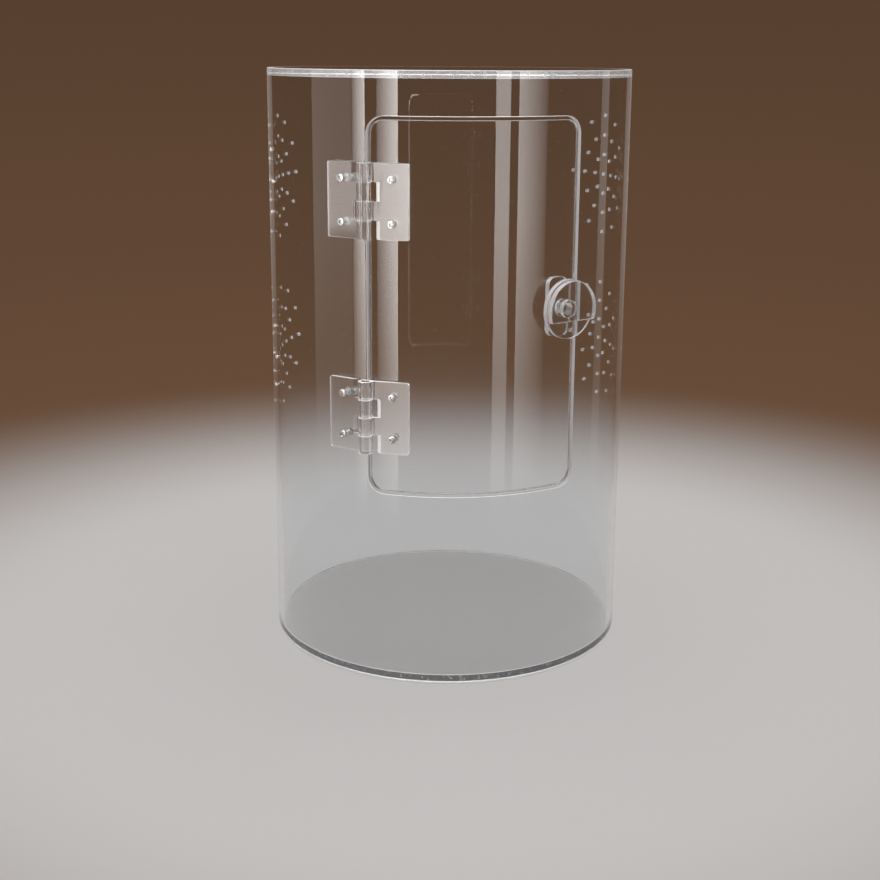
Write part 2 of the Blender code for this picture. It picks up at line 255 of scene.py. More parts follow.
class GeometryTree(Tree):
    """A geometry node tree with named inputs."""

    KINDS = {float: "NodeSocketFloat", int: "NodeSocketInt", bpy.types.Material: "NodeSocketMaterial"}

    def __init__(self, name: str, inputs: dict[str, float | int | bpy.types.Material]) -> None:
        """Make the tree and its inputs.

        Args:
            name: The tree's name.
            inputs: The value of each named input, whose type gives the socket's type.
        """
        super().__init__(bpy.data.node_groups.new(name, "GeometryNodeTree"))
        self.inputs = inputs
        interface = self.tree.interface
        interface.new_socket("Geometry", in_out="INPUT", socket_type="NodeSocketGeometry")
        self.identifiers = {}
        for label, value in inputs.items():
            kind = next(kind for base, kind in self.KINDS.items() if isinstance(value, base))
            socket = interface.new_socket(label, in_out="INPUT", socket_type=kind)
            self.identifiers[label] = socket.identifier
        interface.new_socket("Geometry", in_out="OUTPUT", socket_type="NodeSocketGeometry")
        self.group = self.tree.nodes.new("NodeGroupInput")

    def given(self, label: str) -> Socket:
        """One of the tree's inputs."""
        return Socket(self.tree, self.group.outputs[label])

    def on_tube(self, angle: Socket, distance: Socket, height: Socket) -> Socket:
        """A place at an angle, a distance from the tube's axis and a height."""
        return self.vector(X=angle.math("SINE") * distance, Y=-(angle.math("COSINE") * distance), Z=height)

    def end(self, geometry: Socket) -> None:
        """Realize what the tree made, give it its material and join it to the output."""
        real = self.node("GeometryNodeRealizeInstances", sockets={"Geometry": geometry})
        sockets = {"Geometry": real, "Material": self.given("Material")}
        dressed = self.node("GeometryNodeSetMaterial", sockets=sockets)
        self.node("NodeGroupOutput", sockets={"Geometry": dressed})

    def run(self, mesh: bpy.types.Mesh) -> bpy.types.Mesh:
        """Run the tree on a mesh.

        Args:
            mesh: The mesh that the tree takes as its geometry.

        Returns:
            The result as a plain mesh.
        """
        obj = linked(self.tree.name, mesh)
        modifier = obj.modifiers.new(self.tree.name, "NODES")
        modifier.node_group = self.tree
        for label, value in self.inputs.items():
            modifier[self.identifiers[label]] = value
        return taken_from(obj)


def linked(name: str, data: bpy.types.ID) -> bpy.types.Object:
    """A new object in the scene.

    Args:
        name: Its name.
        data: Its mesh, light or camera.

    Returns:
        The object, at the origin.
    """
    obj = bpy.data.objects.new(name, data)
    bpy.context.scene.collection.objects.link(obj)
    return obj


def taken_from(obj: bpy.types.Object) -> bpy.types.Mesh:
    """Turn an object with modifiers into a plain mesh and remove it.

    Args:
        obj: The object.

    Returns:
        Its evaluated shape.
    """
    bpy.context.view_layer.update()
    graph = bpy.context.evaluated_depsgraph_get()
    mesh = bpy.data.meshes.new_from_object(obj.evaluated_get(graph))
    bpy.data.objects.remove(obj, do_unlink=True)
    return mesh


def mesh_from(bm: bmesh.types.BMesh) -> bpy.types.Mesh:
    """Close a surface's seams, point its faces outwards and turn it into a mesh.

    Args:
        bm: The surface, which is freed.

    Returns:
        The mesh.
    """
    bmesh.ops.remove_doubles(bm, verts=bm.verts, dist=WELD_DISTANCE)
    bmesh.ops.recalc_face_normals(bm, faces=bm.faces)
    mesh = bpy.data.meshes.new("shape")
    bm.to_mesh(mesh)
    bm.free()
    return mesh


def skin(bm: bmesh.types.BMesh, first: Row, second: Row) -> None:
    """Join two closed rows of corners with a band of faces.

    Args:
        bm: The surface that they belong to.
        first: One row.
        second: The other, of the same count.
    """
    for index in range(len(first)):
        after = (index + 1) % len(first)
        bm.faces.new((first[index], first[after], second[after], second[index]))


def loft(loops: Sequence[Sequence[Vector]], ring: bool = False) -> bmesh.types.BMesh:
    """Join loops of points, each of the same count, into one closed surface.

    Args:
        loops: The loops in order. One whose points all meet closes to a pole.
        ring: Whether the last loop joins the first, instead of both being capped.

    Returns:
        The surface.
    """
    bm = bmesh.new()
    rows = [[bm.verts.new(point) for point in loop] for loop in loops]
    pairs = list(zip(rows, rows[1:]))
    if ring:
        pairs.append((rows[-1], rows[0]))
    for first, second in pairs:
        skin(bm, first, second)
    if not ring:
        for row, loop in ((rows[0], loops[0]), (rows[-1], loops[-1])):
            if (loop[0] - loop[1]).length > WELD_DISTANCE:
                bm.faces.new(row)
    return bm


def around(points: Sequence[Point2]) -> list[Vector]:
    """A loop about Z whose points stand at even turns.

    Args:
        points: The radius and height of each.

    Returns:
        The loop.
    """
    loop = []
    for index, (radius, height) in enumerate(points):
        turn = math.tau * index / len(points)
        loop.append(Vector((radius * math.cos(turn), radius * math.sin(turn), height)))
    return loop


def turned(profile: Sequence[Point2], steps: int) -> bpy.types.Mesh:
    """Turn a profile of (radius, height) points about Z.

    Args:
        profile: The points in order. A radius of zero is a pole.
        steps: How many faces go round.

    Returns:
        The mesh.
    """
    return mesh_from(loft([around([point] * steps) for point in profile]))


def rod(radius: float, low: float, high: float, steps: int) -> bpy.types.Mesh:
    """A plain rod about Z from one height to another."""
    return turned([(0.0, high), (radius, high), (radius, low), (0.0, low)], steps)


def prism(outline: Sequence[Point2], low: float, high: float) -> bpy.types.Mesh:
    """A flat plate with an outline in XY, from one height to another."""
    loops = [[Vector((x, y, height)) for x, y in outline] for height in (low, high)]
    return mesh_from(loft(loops))


def arc(centre: Point2, radius: float, start: float, end: float, steps: int) -> list[Point2]:
    """Points of an arc from one angle to another, both ends included."""
    turns = [start + (end - start) * index / steps for index in range(steps + 1)]
    return [(centre[0] + radius * math.cos(t), centre[1] + radius * math.sin(t)) for t in turns]


def rounded_box(width: float, height: float, corner: float, steps: int = 8) -> list[Point2]:
    """The outline of a rectangle with round corners about its own centre.

    Args:
        width: Its size along X.
        height: Its size along Y.
        corner: The radius of its corners.
        steps: How many faces go round each corner.

    Returns:
        Its points, anticlockwise.
    """
    x = width / 2 - corner
    y = height / 2 - corner
    points = []
    for index, (side, end) in enumerate(((1, 1), (-1, 1), (-1, -1), (1, -1))):
        start = index * QUARTER_TURN
        points += arc((side * x, end * y), corner, start, start + QUARTER_TURN, steps)
    return points


def combined(mesh: bpy.types.Mesh, other: bpy.types.Mesh, operation: str = "DIFFERENCE") -> bpy.types.Mesh:
    """Cut one mesh by another, join them or keep what both fill.

    Args:
        mesh: The worked mesh.
        other: The tool.
        operation: The Boolean modifier's operation.

    Returns:
        The result.
    """
    obj = linked("worked", mesh)
    tool = linked("tool", other)
    boolean = obj.modifiers.new("boolean", "BOOLEAN")
    boolean.operation = operation
    boolean.solver = "EXACT"
    boolean.object = tool
    result = taken_from(obj)
    bpy.data.objects.remove(tool, do_unlink=True)
    return result


def edged(mesh: bpy.types.Mesh, width: float, segments: int = 3) -> bpy.types.Mesh:
    """Round a mesh's sharp edges and shade its flats flat.

    Args:
        mesh: The mesh.
        width: The width of the rounding.
        segments: How many faces go across it.

    Returns:
        The result.
    """
    obj = linked("edged", mesh)
    mesh.shade_smooth()
    bevel = obj.modifiers.new("edge", "BEVEL")
    bevel.width = width
    bevel.segments = segments
    bevel.limit_method = "ANGLE"
    bevel.angle_limit = EDGE_ANGLE
    weighted = obj.modifiers.new("flats", "WEIGHTED_NORMAL")
    weighted.mode = "FACE_AREA"
    weighted.weight = FLAT_WEIGHT
    return taken_from(obj)


def smoothed(mesh: bpy.types.Mesh) -> bpy.types.Mesh:
    """Shade a mesh smooth but for its sharp edges.

    Args:
        mesh: The mesh.

    Returns:
        The same mesh.
    """
    mesh.shade_smooth()
    mesh.set_sharp_from_angle(angle=SMOOTH_ANGLE)
    return mesh


def dress(mesh: bpy.types.Mesh, *materials: bpy.types.Material) -> None:
    """Give a mesh its materials in the place of any that it has."""
    mesh.materials.clear()
    for material in materials:
        mesh.materials.append(material)


@dataclass(frozen=True)
class ClearFinish:
    """Clear plastic: polished, with faint ripples, a little haze from handling and a few specks."""

    name: str
    tint: Colour = (0.925, 0.94, 0.95)
    index: float = 1.49
    through: float = 1.0
    polish: float = 0.004
    haze: float = 0.035
    haze_cells: float = 26.0
    haze_detail: float = 5.0
    haze_grain: float = 0.62
    haze_level: float = 0.54
    haze_gain: float = 5.0
    ripple: float = 0.00004
    ripple_cells: Sequence[float] = (22.0, 22.0, 4.0)
    ripple_detail: float = 2.0
    speck_cells: float = 240.0
    speck_size: float = 0.045
    speck_gain: float = 60.0
    speck_dullness: float = 0.3
    shade_passed: Colour = (0.955, 0.955, 0.955)

    def material(self) -> bpy.types.Material:
        """Build the material."""
        tree = MaterialTree(self.name)
        smear = tree.noise(tree.place(), self.haze_cells, self.haze_detail, self.haze_grain)
        patches = ((smear - self.haze_level) * self.haze_gain).clamped()
        sockets = {"Vector": tree.place(), "Scale": self.speck_cells}
        cells = tree.node("ShaderNodeTexVoronoi", sockets=sockets)
        specks = ((self.speck_size - cells) * self.speck_gain).clamped()
        rough = self.polish + self.haze * patches + self.speck_dullness * specks
        swell = tree.noise(tree.place(self.ripple_cells), 1.0, self.ripple_detail)
        ripple = tree.bump(swell, self.ripple)
        plastic = tree.node(
            "ShaderNodeBsdfPrincipled",
            sockets={
                "Base Color": (*self.tint, 1.0),
                "Roughness": rough,
                "IOR": self.index,
                "Transmission Weight": self.through,
                "Normal": ripple,
            },
        )
        return tree.end(let_light_through(tree, plastic, self.shade_passed))


def let_light_through(tree: MaterialTree, plastic: Socket, passed: Colour) -> Socket:
    """Swap a clear shader for plain transparency where light, not sight, goes through it.

    Args:
        tree: The material's tree.
        plastic: The clear shader.
        passed: The colour of what light comes through.

    Returns:
        The mixed shader.
    """
    opening = tree.node("ShaderNodeBsdfTransparent", sockets={"Color": (*passed, 1.0)})
    shader = plastic
    for path in ("Is Diffuse Ray", "Is Shadow Ray"):
        ray = tree.node("ShaderNodeLightPath", output=path)
        shader = tree.node("ShaderNodeMixShader", sockets={0: ray, 1: shader, 2: opening})
    return shader


@dataclass(frozen=True)
class CutFinish:
    """A sawn or drilled face of clear plastic: frosted white, with fine tool marks whose grooves are
    darkened by painted shade.
    """

    name: str
    tint: Colour = (0.86, 0.865, 0.885)
    index: float = 1.49
    through: float = 0.62
    smoothest: float = 0.24
    roughest: float = 0.46
    mark_cells: Sequence[float] = (900.0, 900.0, 900.0)
    mark_detail: float = 4.0
    mark_depth: float = 0.00004
    # How dark the painted shade in the tool marks' grooves is, as a share of the tint
    mark_shade: float = 0.86
    wear_cells: float = 70.0
    shade_passed: Colour = (0.80, 0.81, 0.82)

    def material(self) -> bpy.types.Material:
        """Build the material."""
        tree = MaterialTree(self.name)
        marks = tree.noise(tree.place(self.mark_cells), 1.0, self.mark_detail)
        wear = tree.noise(tree.place(), self.wear_cells)
        rough = self.smoothest + (self.roughest - self.smoothest) * wear
        # Painted shade: the tint is darkened where the tool marks dip, as if their grooves lay in shadow
        painted_groove_colour = tuple(self.mark_shade * part for part in self.tint)
        frosted = tree.node(
            "ShaderNodeBsdfPrincipled",
            sockets={
                "Base Color": tree.blend(marks, painted_groove_colour, self.tint),
                "Roughness": rough,
                "IOR": self.index,
                "Transmission Weight": self.through,
                "Normal": tree.bump(marks, self.mark_depth),
            },
        )
        return tree.end(let_light_through(tree, frosted, self.shade_passed))


@dataclass(frozen=True)
class PlatedFinish:
    """Bright zinc plate on steel: cool metal with a mottled, slightly worn shine."""

    name: str
    bright: Colour = (0.62, 0.61, 0.59)
    dull: Colour = (0.36, 0.355, 0.345)
    smoothest: float = 0.26
    roughest: float = 0.40
    mottle_cells: float = 1400.0
    mottle_detail: float = 4.0
    mottle_grain: float = 0.6
    mottle_level: float = 0.35
    mottle_gain: float = 2.6
    grain_cells: Sequence[float] = (5200.0, 5200.0, 5200.0)
    grain_detail: float = 2.0
    grain_depth: float = 0.000008

    def material(self) -> bpy.types.Material:
        """Build the material."""
        tree = MaterialTree(self.name)
        mottle = tree.noise(tree.place(), self.mottle_cells, self.mottle_detail, self.mottle_grain)
        grain = tree.noise(tree.place(self.grain_cells), 1.0, self.grain_detail)
        patches = ((mottle - self.mottle_level) * self.mottle_gain).clamped()
        steel = tree.node(
            "ShaderNodeBsdfPrincipled",
            sockets={
                "Base Color": tree.blend(patches, self.dull, self.bright),
                "Roughness": self.roughest + (self.smoothest - self.roughest) * patches,
                "Metallic": 1.0,
                "Normal": tree.bump(grain, self.grain_depth),
            },
        )
        return tree.end(steel)


@dataclass(frozen=True)
class WeldFinish:
    """A solvent-welded joint between two clear parts: sight passes through but for a few bubbles."""

    name: str
    bubble_cells: float = 420.0
    bubble_detail: float = 3.0
    bubble_grain: float = 0.6
    bubble_level: float = 0.56
    bubble_gain: float = 9.0
    bubble_share: float = 0.40
    film_share: float = 0.22
    tint: Colour = (0.42, 0.43, 0.44)
    dullness: float = 0.4

    def material(self) -> bpy.types.Material:
        """Build the material."""
        tree = MaterialTree(self.name)
        foam = tree.noise(tree.place(), self.bubble_cells, self.bubble_detail, self.bubble_grain)
        bubbles = ((foam - self.bubble_level) * self.bubble_gain).clamped()
        film = tree.node(
            "ShaderNodeBsdfPrincipled",
            sockets={
                "Base Color": (*self.tint, 1.0),
                "Roughness": self.dullness,
                "Alpha": self.film_share + bubbles * self.bubble_share,
            },
        )
        return tree.end(film)


@dataclass(frozen=True)
class StageFinish:
    """The studio's sweep: a pale floor that turns to a dark taupe away from the object; the taupe is partly
    the backdrop's own colour and partly painted shade for light falling off away from the object.
    """

    name: str
    floor: Colour = (0.74, 0.728, 0.715)
    # The far colour: a taupe backdrop, darkened as painted shade of light falling off
    wall: Colour = (0.205, 0.108, 0.056)
    pale_radius: float = 0.25
    dark_radius: float = 0.62
    grain_cells: float = 9.0
    smoothest: float = 0.62
    grain_share: float = 0.1
    shine: float = 0.25

    def material(self) -> bpy.types.Material:
        """Build the material."""
        tree = MaterialTree(self.name)
        place = tree.node("ShaderNodeTexCoord", output="Object")
        across, along = tree.split(place)
        radius = (across * across + along * along).math("SQRT")
        # Painted shade: the colour darkens with distance from the object as if the light fell off
        share = tree.node(
            "ShaderNodeMapRange",
            {"interpolation_type": "SMOOTHSTEP"},
            {"Value": radius, "From Min": self.pale_radius, "From Max": self.dark_radius},
        )
        grain = tree.noise(tree.place(), self.grain_cells)
        matt = tree.node(
            "ShaderNodeBsdfPrincipled",
            sockets={
                "Base Color": tree.blend(share, self.floor, self.wall),
                "Roughness": self.smoothest + self.grain_share * grain,
                "Specular IOR Level": self.shine,
            },
        )
        return tree.end(matt)


@dataclass(frozen=True)
class Finishes:
    """The materials, each built once."""

    tube: bpy.types.Material
    door: bpy.types.Material
    disc: bpy.types.Material
    hinge: bpy.types.Material
    latch: bpy.types.Material
    sawn: bpy.types.Material
    smoothed_edge: bpy.types.Material
    drilled: bpy.types.Material
    rim: bpy.types.Material
    turned_rim: bpy.types.Material
    weld: bpy.types.Material
    steel: bpy.types.Material

    @classmethod
    def build(cls) -> "Finishes":
        """Build every material of the object.

        Returns:
            The materials.
        """
        pale = (0.975, 0.985, 0.99)
        fine, even, close = ((cells,) * 3 for cells in (160.0, 30.0, 60.0))
        finishes = {
            "tube": ClearFinish("clear_tube_wall"),
            "door": ClearFinish("clear_door_wall", haze=0.05),
            "disc": ClearFinish("clear_disc", ripple_cells=even),
            "hinge": ClearFinish(
                "moulded_clear",
                pale,
                through=0.985,
                haze=0.05,
                haze_cells=90.0,
                ripple=0.000012,
                ripple_cells=fine,
            ),
            "latch": ClearFinish("cut_clear_plate", pale, ripple_cells=close),
            "sawn": CutFinish("sawn_edge"),
            "smoothed_edge": CutFinish("smoothed_edge", through=0.92, smoothest=0.10, roughest=0.26),
            "drilled": CutFinish("drilled_edge", (0.74, 0.74, 0.75), through=0.58, smoothest=0.16),
            "rim": CutFinish(
                "bright_rim",
                (0.96, 0.96, 0.965),
                through=0.46,
                smoothest=0.10,
                roughest=0.24,
            ),
            "turned_rim": CutFinish("turned_rim", through=0.78, smoothest=0.10, roughest=0.24),
            "weld": WeldFinish("welded_seam"),
            "steel": PlatedFinish("zinc_plate"),
        }
        return cls(**{part: finish.material() for part, finish in finishes.items()})


@dataclass
class Piece:
    """A finished mesh, what it rides on and what it stands for."""

    name: str
    mesh: bpy.types.Mesh
    body: Body
    slot: Slot
    nodes: Sequence[str]

    def add(self) -> bpy.types.Object:
        """Put the piece in the scene.

        Returns:
            Its object, at the origin, with its place in its mesh.
        """
        self.mesh.name = self.name
        obj = bpy.data.objects.new(self.name, self.mesh)
        piece_collection().objects.link(obj)
        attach(obj, self.body.value)
        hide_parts(*self.nodes)
        faces = len(self.mesh.polygons)
        LOG.info("%s: %d faces on %s for %s", self.name, faces, self.body.value, list(self.nodes))
        return obj


def piece_collection() -> bpy.types.Collection:
    """The collection of all finished pieces, made at its first use."""
    found = bpy.data.collections.get(PIECES)
    if found is None:
        found = bpy.data.collections.new(PIECES)
        bpy.context.scene.collection.children.link(found)
    return found


@dataclass(frozen=True)
class Tube:
    """The tube that everything is cut from or fixed to."""

    radius: float
    height: float
    wall: float = 0.003
    edge: float = 0.0003
    steps: int = 256

    @classmethod
    def from_frame(cls) -> "Tube":
        """Read the tube's radius and height from its node."""
        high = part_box("tube_wall")[1]
        return cls(radius=high.x, height=high.z)

    @property
    def inner(self) -> float:
        """The inner radius."""
        return self.radius - self.wall

    def point(self, angle: float, distance: float, height: float) -> Vector:
        """A place at an angle, a distance from the axis and a height."""
        return Vector((distance * math.sin(angle), -distance * math.cos(angle), height))

    def place(self, angle: float, distance: float, height: float, roll: float = 0.0) -> Matrix:
        """A placement whose X runs round the tube, Y up and Z straight out.

        Args:
            angle: Where its origin is round the tube.
            distance: How far its origin is from the tube's axis.
            height: How high its origin is.
            roll: A turn about its own Z.

        Returns:
            The placement.
        """
        turn = Matrix.Rotation(angle, 4, "Z")
        shift = Matrix.Translation((0.0, -distance, height))
        face = Matrix.Rotation(QUARTER_TURN, 4, "X")
        return turn @ shift @ face @ Matrix.Rotation(roll, 4, "Z")

    def shaded(self, mesh: bpy.types.Mesh, materials: Sequence[bpy.types.Material]) -> bpy.types.Mesh:
        """Shade a part of the wall as a true cylinder and dress its cut faces.

        Args:
            mesh: A mesh whose polished faces lie on the tube's two surfaces.
            materials: The polished finish, and the finish of all faces that aren't on them.

        Returns:
            The same mesh.
        """
        dress(smoothed(mesh), *materials)
        normals = [Vector(corner.vector) for corner in mesh.corner_normals]
        for face in mesh.polygons:
            out = Vector((face.center.x, face.center.y, 0.0)).normalized()
            facing = face.normal.dot(out)
            on_surface = abs(facing) > math.cos(SMOOTH_ANGLE)
            face.material_index = 0 if on_surface else 1
            if not on_surface:
                continue
            for loop in face.loop_indices:
                spot = mesh.vertices[mesh.loops[loop].vertex_index].co
                radial = Vector((spot.x, spot.y, 0.0)).normalized()
                normals[loop] = radial if facing > 0.0 else -radial
        mesh.normals_split_custom_set(normals)
        return mesh


@dataclass(frozen=True)
class DoorOutline:
    """The rounded rectangle that the door and its doorway follow, drawn on the tube's surface."""

    width: float
    height: float
    middle: float
    corner: float
    corner_steps: int = 8
    middle_steps: int = 40

    def grown(self, margin: float) -> "DoorOutline":
        """The outline moved outwards by a margin."""
        return replace(
            self,
            width=self.width + 2 * margin,
            height=self.height + 2 * margin,
            corner=self.corner + margin,
        )

    def columns(self) -> list[tuple[float, float, float]]:
        """Upright lines across the outline.

        Returns:
            The arc length and the low and high ends of each, from left to right.
        """
        x = self.width / 2 - self.corner
        y = self.height / 2 - self.corner
        turns = [QUARTER_TURN * index / self.corner_steps for index in range(self.corner_steps + 1)]
        left = [(-x - self.corner * math.cos(t), y + self.corner * math.sin(t)) for t in turns]
        places = [-x + 2 * x * index / self.middle_steps for index in range(1, self.middle_steps)]
        inside = [(place, self.height / 2) for place in places]
        right = [(-side, reach) for side, reach in reversed(left)]
        spans = left + inside + right
        return [(side, self.middle - reach, self.middle + reach) for side, reach in spans]

    def loop(self, tube: Tube, distance: float) -> list[Vector]:
        """The outline as a loop on a surface round the tube's axis.

        Args:
            tube: The tube.
            distance: The surface's distance from the axis.

        Returns:
            Its points, anticlockwise from outside.
        """
        columns = self.columns()
        lower = [tube.point(side / tube.radius, distance, low) for side, low, high in columns]
        upper = [tube.point(side / tube.radius, distance, high) for side, low, high in reversed(columns)]
        return lower + upper


@dataclass
class Enclosure:
    """The clear tube with its doorway and vents, its base and its top."""

    tube: Tube
    finishes: Finishes
    doorway: DoorOutline
    screw_places: Sequence[Point2]
    screw_hole: float = 0.0013
    vent_angle: float = math.radians(100.8)
    vent_top_inset: float = 0.060
    vent_spacing: float = 0.097
    vent_hole: float = 0.0010
    vent_edge: float = 0.00018
    vent_pitch: float = 0.0112
    vent_counts: Sequence[int] = (8, 12, 12)
    vent_sides: int = 16
    vent_overrun: float = 0.0005
    overrun: float = 0.002
    disc_edge: float = 0.0003
    disc_gap: float = 0.00006
    disc_steps: int = 192

    def build(self) -> None:
        """Build and dress the tube and its two discs."""
        wall = combined(self._blank(), drills(self.tube, self.screw_places, self.screw_hole, self.overrun))
        wall = self._vents().run(wall)
        self.tube.shaded(wall, (self.finishes.tube, self.finishes.sawn))
        self._frost_vents(wall)
        self._weld_seams(wall)
        Piece("clear_tube", wall, Body.ENCLOSURE, Slot.TUBE, ["tube_wall"]).add()
        for node, name in (("base_disc", "clear_base"), ("top_disc", "clear_top")):
            Piece(name, self._disc(node), Body.ENCLOSURE, Slot.TUBE, [node]).add()

    def _blank(self) -> bpy.types.Mesh:
        """The tube with its doorway and broken edges, before any hole is drilled.

        Returns:
            The wall, with lines where the base and the top meet it.
        """
        tube = self.tube
        bm = bmesh.new()
        lines = self._lines()
        surfaces = ((tube.radius, tube.radius - tube.edge), (tube.inner, tube.inner + tube.edge))
        base_top, top_bottom = self._seams()
        # A line's corners from the foot up: rim, edge, base, doorway's foot and head, top, edge, rim
        rows = {}
        for surface, (face, rim) in enumerate(surfaces):
            for index, (angle, gap) in enumerate(lines):
                heights = (tube.edge, base_top, *gap, top_bottom, tube.height - tube.edge)
                stops = [(rim, 0.0), *((face, height) for height in heights), (rim, tube.height)]
                rows[surface, index] = [bm.verts.new(tube.point(angle, *stop)) for stop in stops]
        count = len(lines)
        opening = [index for index, (angle, gap) in enumerate(lines) if gap]
        for index in range(count):
            after = (index + 1) % count
            for surface in (0, 1):
                here, there = rows[surface, index], rows[surface, after]
                for low, high in ((0, 1), (1, 2), (-3, -2), (-2, -1)):
                    bm.faces.new((here[low], there[low], there[high], here[high]))
                if index in opening and after in opening:
                    bm.faces.new((here[2], there[2], there[3], here[3]))
                    bm.faces.new((here[4], there[4], there[5], here[5]))
                else:
                    bm.faces.new((*here[2:-2], *reversed(there[2:-2])))
            outside, inside = (rows[0, index], rows[0, after]), (rows[1, index], rows[1, after])
            for end in (0, -1):
                bm.faces.new((outside[0][end], outside[1][end], inside[1][end], inside[0][end]))
        self._line_doorway(bm, rows, opening)
        return mesh_from(bm)

    @staticmethod
    def _seams() -> tuple[float, float]:
        """The heights of the base's upper face and the top's lower face."""
        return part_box("base_disc")[1].z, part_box("top_disc")[0].z

    def _lines(self) -> list[tuple[float, Sequence[float]]]:
        """The tube's upright lines.

        Returns:
            The angle of each, and the doorway's two heights where it crosses the doorway.
        """
        tube = self.tube
        columns = self.doorway.grown(tube.edge).columns()
        lines = [(side / tube.radius, (low, high)) for side, low, high in columns]
        start, end = lines[-1][0], lines[0][0] + math.tau
        steps = round((end - start) / math.tau * tube.steps)
        lines += [(start + (end - start) * index / steps, ()) for index in range(1, steps)]
        return lines

    def _line_doorway(self, bm: bmesh.types.BMesh, rows: dict, opening: Sequence[int]) -> None:
        """Close the doorway's sides between the tube's two surfaces.

        Args:
            bm: The wall so far.
            rows: Its corners, from the foot up, by surface and line.
            opening: The lines that cross the doorway.
        """
        tube = self.tube
        outer, inner = (
            [rows[surface, line][3] for line in opening]
            + [rows[surface, line][4] for line in reversed(opening)]
            for surface in (0, 1)
        )
        rims = (tube.radius - tube.edge, tube.inner + tube.edge)
        between = [[bm.verts.new(point) for point in self.doorway.loop(tube, rim)] for rim in rims]
        loops = [outer, *between, inner]
        for first, second in zip(loops, loops[1:]):
            skin(bm, first, second)

    def _vents(self) -> GeometryTree:
        """The tree that drills rosettes of small holes through both sides of the tube."""
        tube = self.tube
        tree = GeometryTree("vent_rosettes", {
            "Tube Radius": tube.radius,
            "Wall Middle": tube.radius - tube.wall / 2,
            "Half Wall": tube.wall / 2,
            "Side Arc": self.vent_angle * tube.radius,
            "Upper Height": tube.height - self.vent_top_inset,
            "Spacing": self.vent_spacing,
            "Ring Pitch": self.vent_pitch,
            "Hole Radius": self.vent_hole,
            "Edge": self.vent_edge,
            "Overrun": self.vent_overrun,
            "Sides": self.vent_sides,
            "Material": self.finishes.tube,
        })
        rings = [tree.node("GeometryNodeMeshLine", sockets={"Count": 1})]
        for ring, count in enumerate(self.vent_counts, start=1):
            sockets = {"Vertices": count, "Radius": tree.given("Ring Pitch") * float(ring)}
            rings.append(tree.node("GeometryNodeMeshCircle", sockets=sockets))
        rosette = tree.node("GeometryNodeJoinGeometry", sockets={0: rings})
        index = tree.node("GeometryNodeInputIndex")
        level = index.math("MODULO", 2.0)
        side = (index / 2.0).math("FLOOR") * 2.0 - 1.0
        drop = level * tree.given("Spacing")
        middle = tree.vector(X=side * tree.given("Side Arc"), Y=tree.given("Upper Height") - drop)
        four = tree.node("GeometryNodeMeshLine", sockets={"Count": 4})
        middles = tree.node("GeometryNodeSetPosition", sockets={"Geometry": four, "Position": middle})
        flat = tree.node("GeometryNodeInstanceOnPoints", sockets={"Points": middles, "Instance": rosette})
        flat = tree.node("GeometryNodeRealizeInstances", sockets={"Geometry": flat})
        x, y = tree.split(tree.node("GeometryNodeInputPosition"))
        wrapped = tree.on_tube(x / tree.given("Tube Radius"), tree.given("Wall Middle"), y)
        points = tree.node("GeometryNodeSetPosition", sockets={"Geometry": flat, "Position": wrapped})
        # On the wrapped points, X and Y give the way out of the tube
        turn = tree.vector(X=QUARTER_TURN, Z=x.math("ARCTAN2", -y))
        sockets = {"Points": points, "Instance": self._bit(tree), "Rotation": turn}
        bits = tree.node("GeometryNodeInstanceOnPoints", sockets=sockets)
        bits = tree.node("GeometryNodeRealizeInstances", sockets={"Geometry": bits})
        cut = tree.node(
            "GeometryNodeMeshBoolean",
            {"operation": "DIFFERENCE", "solver": "EXACT"},
            {0: tree.given("Geometry"), 1: bits},
        )
        tree.end(cut)
        return tree

    @staticmethod
    def _bit(tree: GeometryTree) -> Socket:
        """One drill bit about Z, which flares at each surface to break the hole's edges.

        Args:
            tree: The vents' tree.

        Returns:
            The bit: six rings, two in the bore, two at the surfaces and two beyond them.
        """
        half, edge, radius = tree.given("Half Wall"), tree.given("Edge"), tree.given("Hole Radius")
        place = tree.node("GeometryNodeInputIndex") - (BIT_RINGS - 1) / 2
        at_surface, beyond = (place.math("ABSOLUTE").math("GREATER_THAN", step) for step in (1.0, 2.0))
        flare = at_surface * edge + beyond * tree.given("Overrun")
        height = place.math("SIGN") * (half - edge + flare)
        line = tree.node("GeometryNodeMeshLine", sockets={"Count": BIT_RINGS})
        sockets = {"Geometry": line, "Position": tree.vector(Z=height)}
        line = tree.node("GeometryNodeSetPosition", sockets=sockets)
        curve = tree.node("GeometryNodeMeshToCurve", sockets={0: line})
        sockets = {"Curve": curve, "Radius": 1.0 + flare / radius}
        bit = tree.node("GeometryNodeSetCurveRadius", sockets=sockets)
        sockets = {"Resolution": tree.given("Sides"), "Radius": radius}
        circle = tree.node("GeometryNodeCurvePrimitiveCircle", sockets=sockets)
        sockets = {"Curve": bit, "Profile Curve": circle, "Fill Caps": True}
        return tree.node("GeometryNodeCurveToMesh", sockets=sockets)

    def _frost_vents(self, wall: bpy.types.Mesh) -> None:
        """Give the sides of the vent holes the drilled finish."""
        wall.materials.append(self.finishes.drilled)
        nearest = self.vent_angle - self.vent_pitch * (len(self.vent_counts) + 1) / self.tube.radius
        for face in wall.polygons:
            angle = abs(math.atan2(face.center.x, -face.center.y))
            in_band = self.tube.edge < face.center.z < self.tube.height - self.tube.edge
            if face.material_index == 1 and angle > nearest and in_band:
                face.material_index = len(wall.materials) - 1

    def _weld_seams(self, wall: bpy.types.Mesh) -> None:
        """Give the two bands of the inner surface that the discs are welded to the welded finish."""
        wall.materials.append(self.finishes.weld)
        base_top, top_bottom = self._seams()
        for face in wall.polygons:
            inwards = face.normal.x * face.center.x + face.normal.y * face.center.y < 0.0
            in_seam = not base_top < face.center.z < top_bottom
            if face.material_index == 0 and inwards and in_seam:
                face.material_index = len(wall.materials) - 1

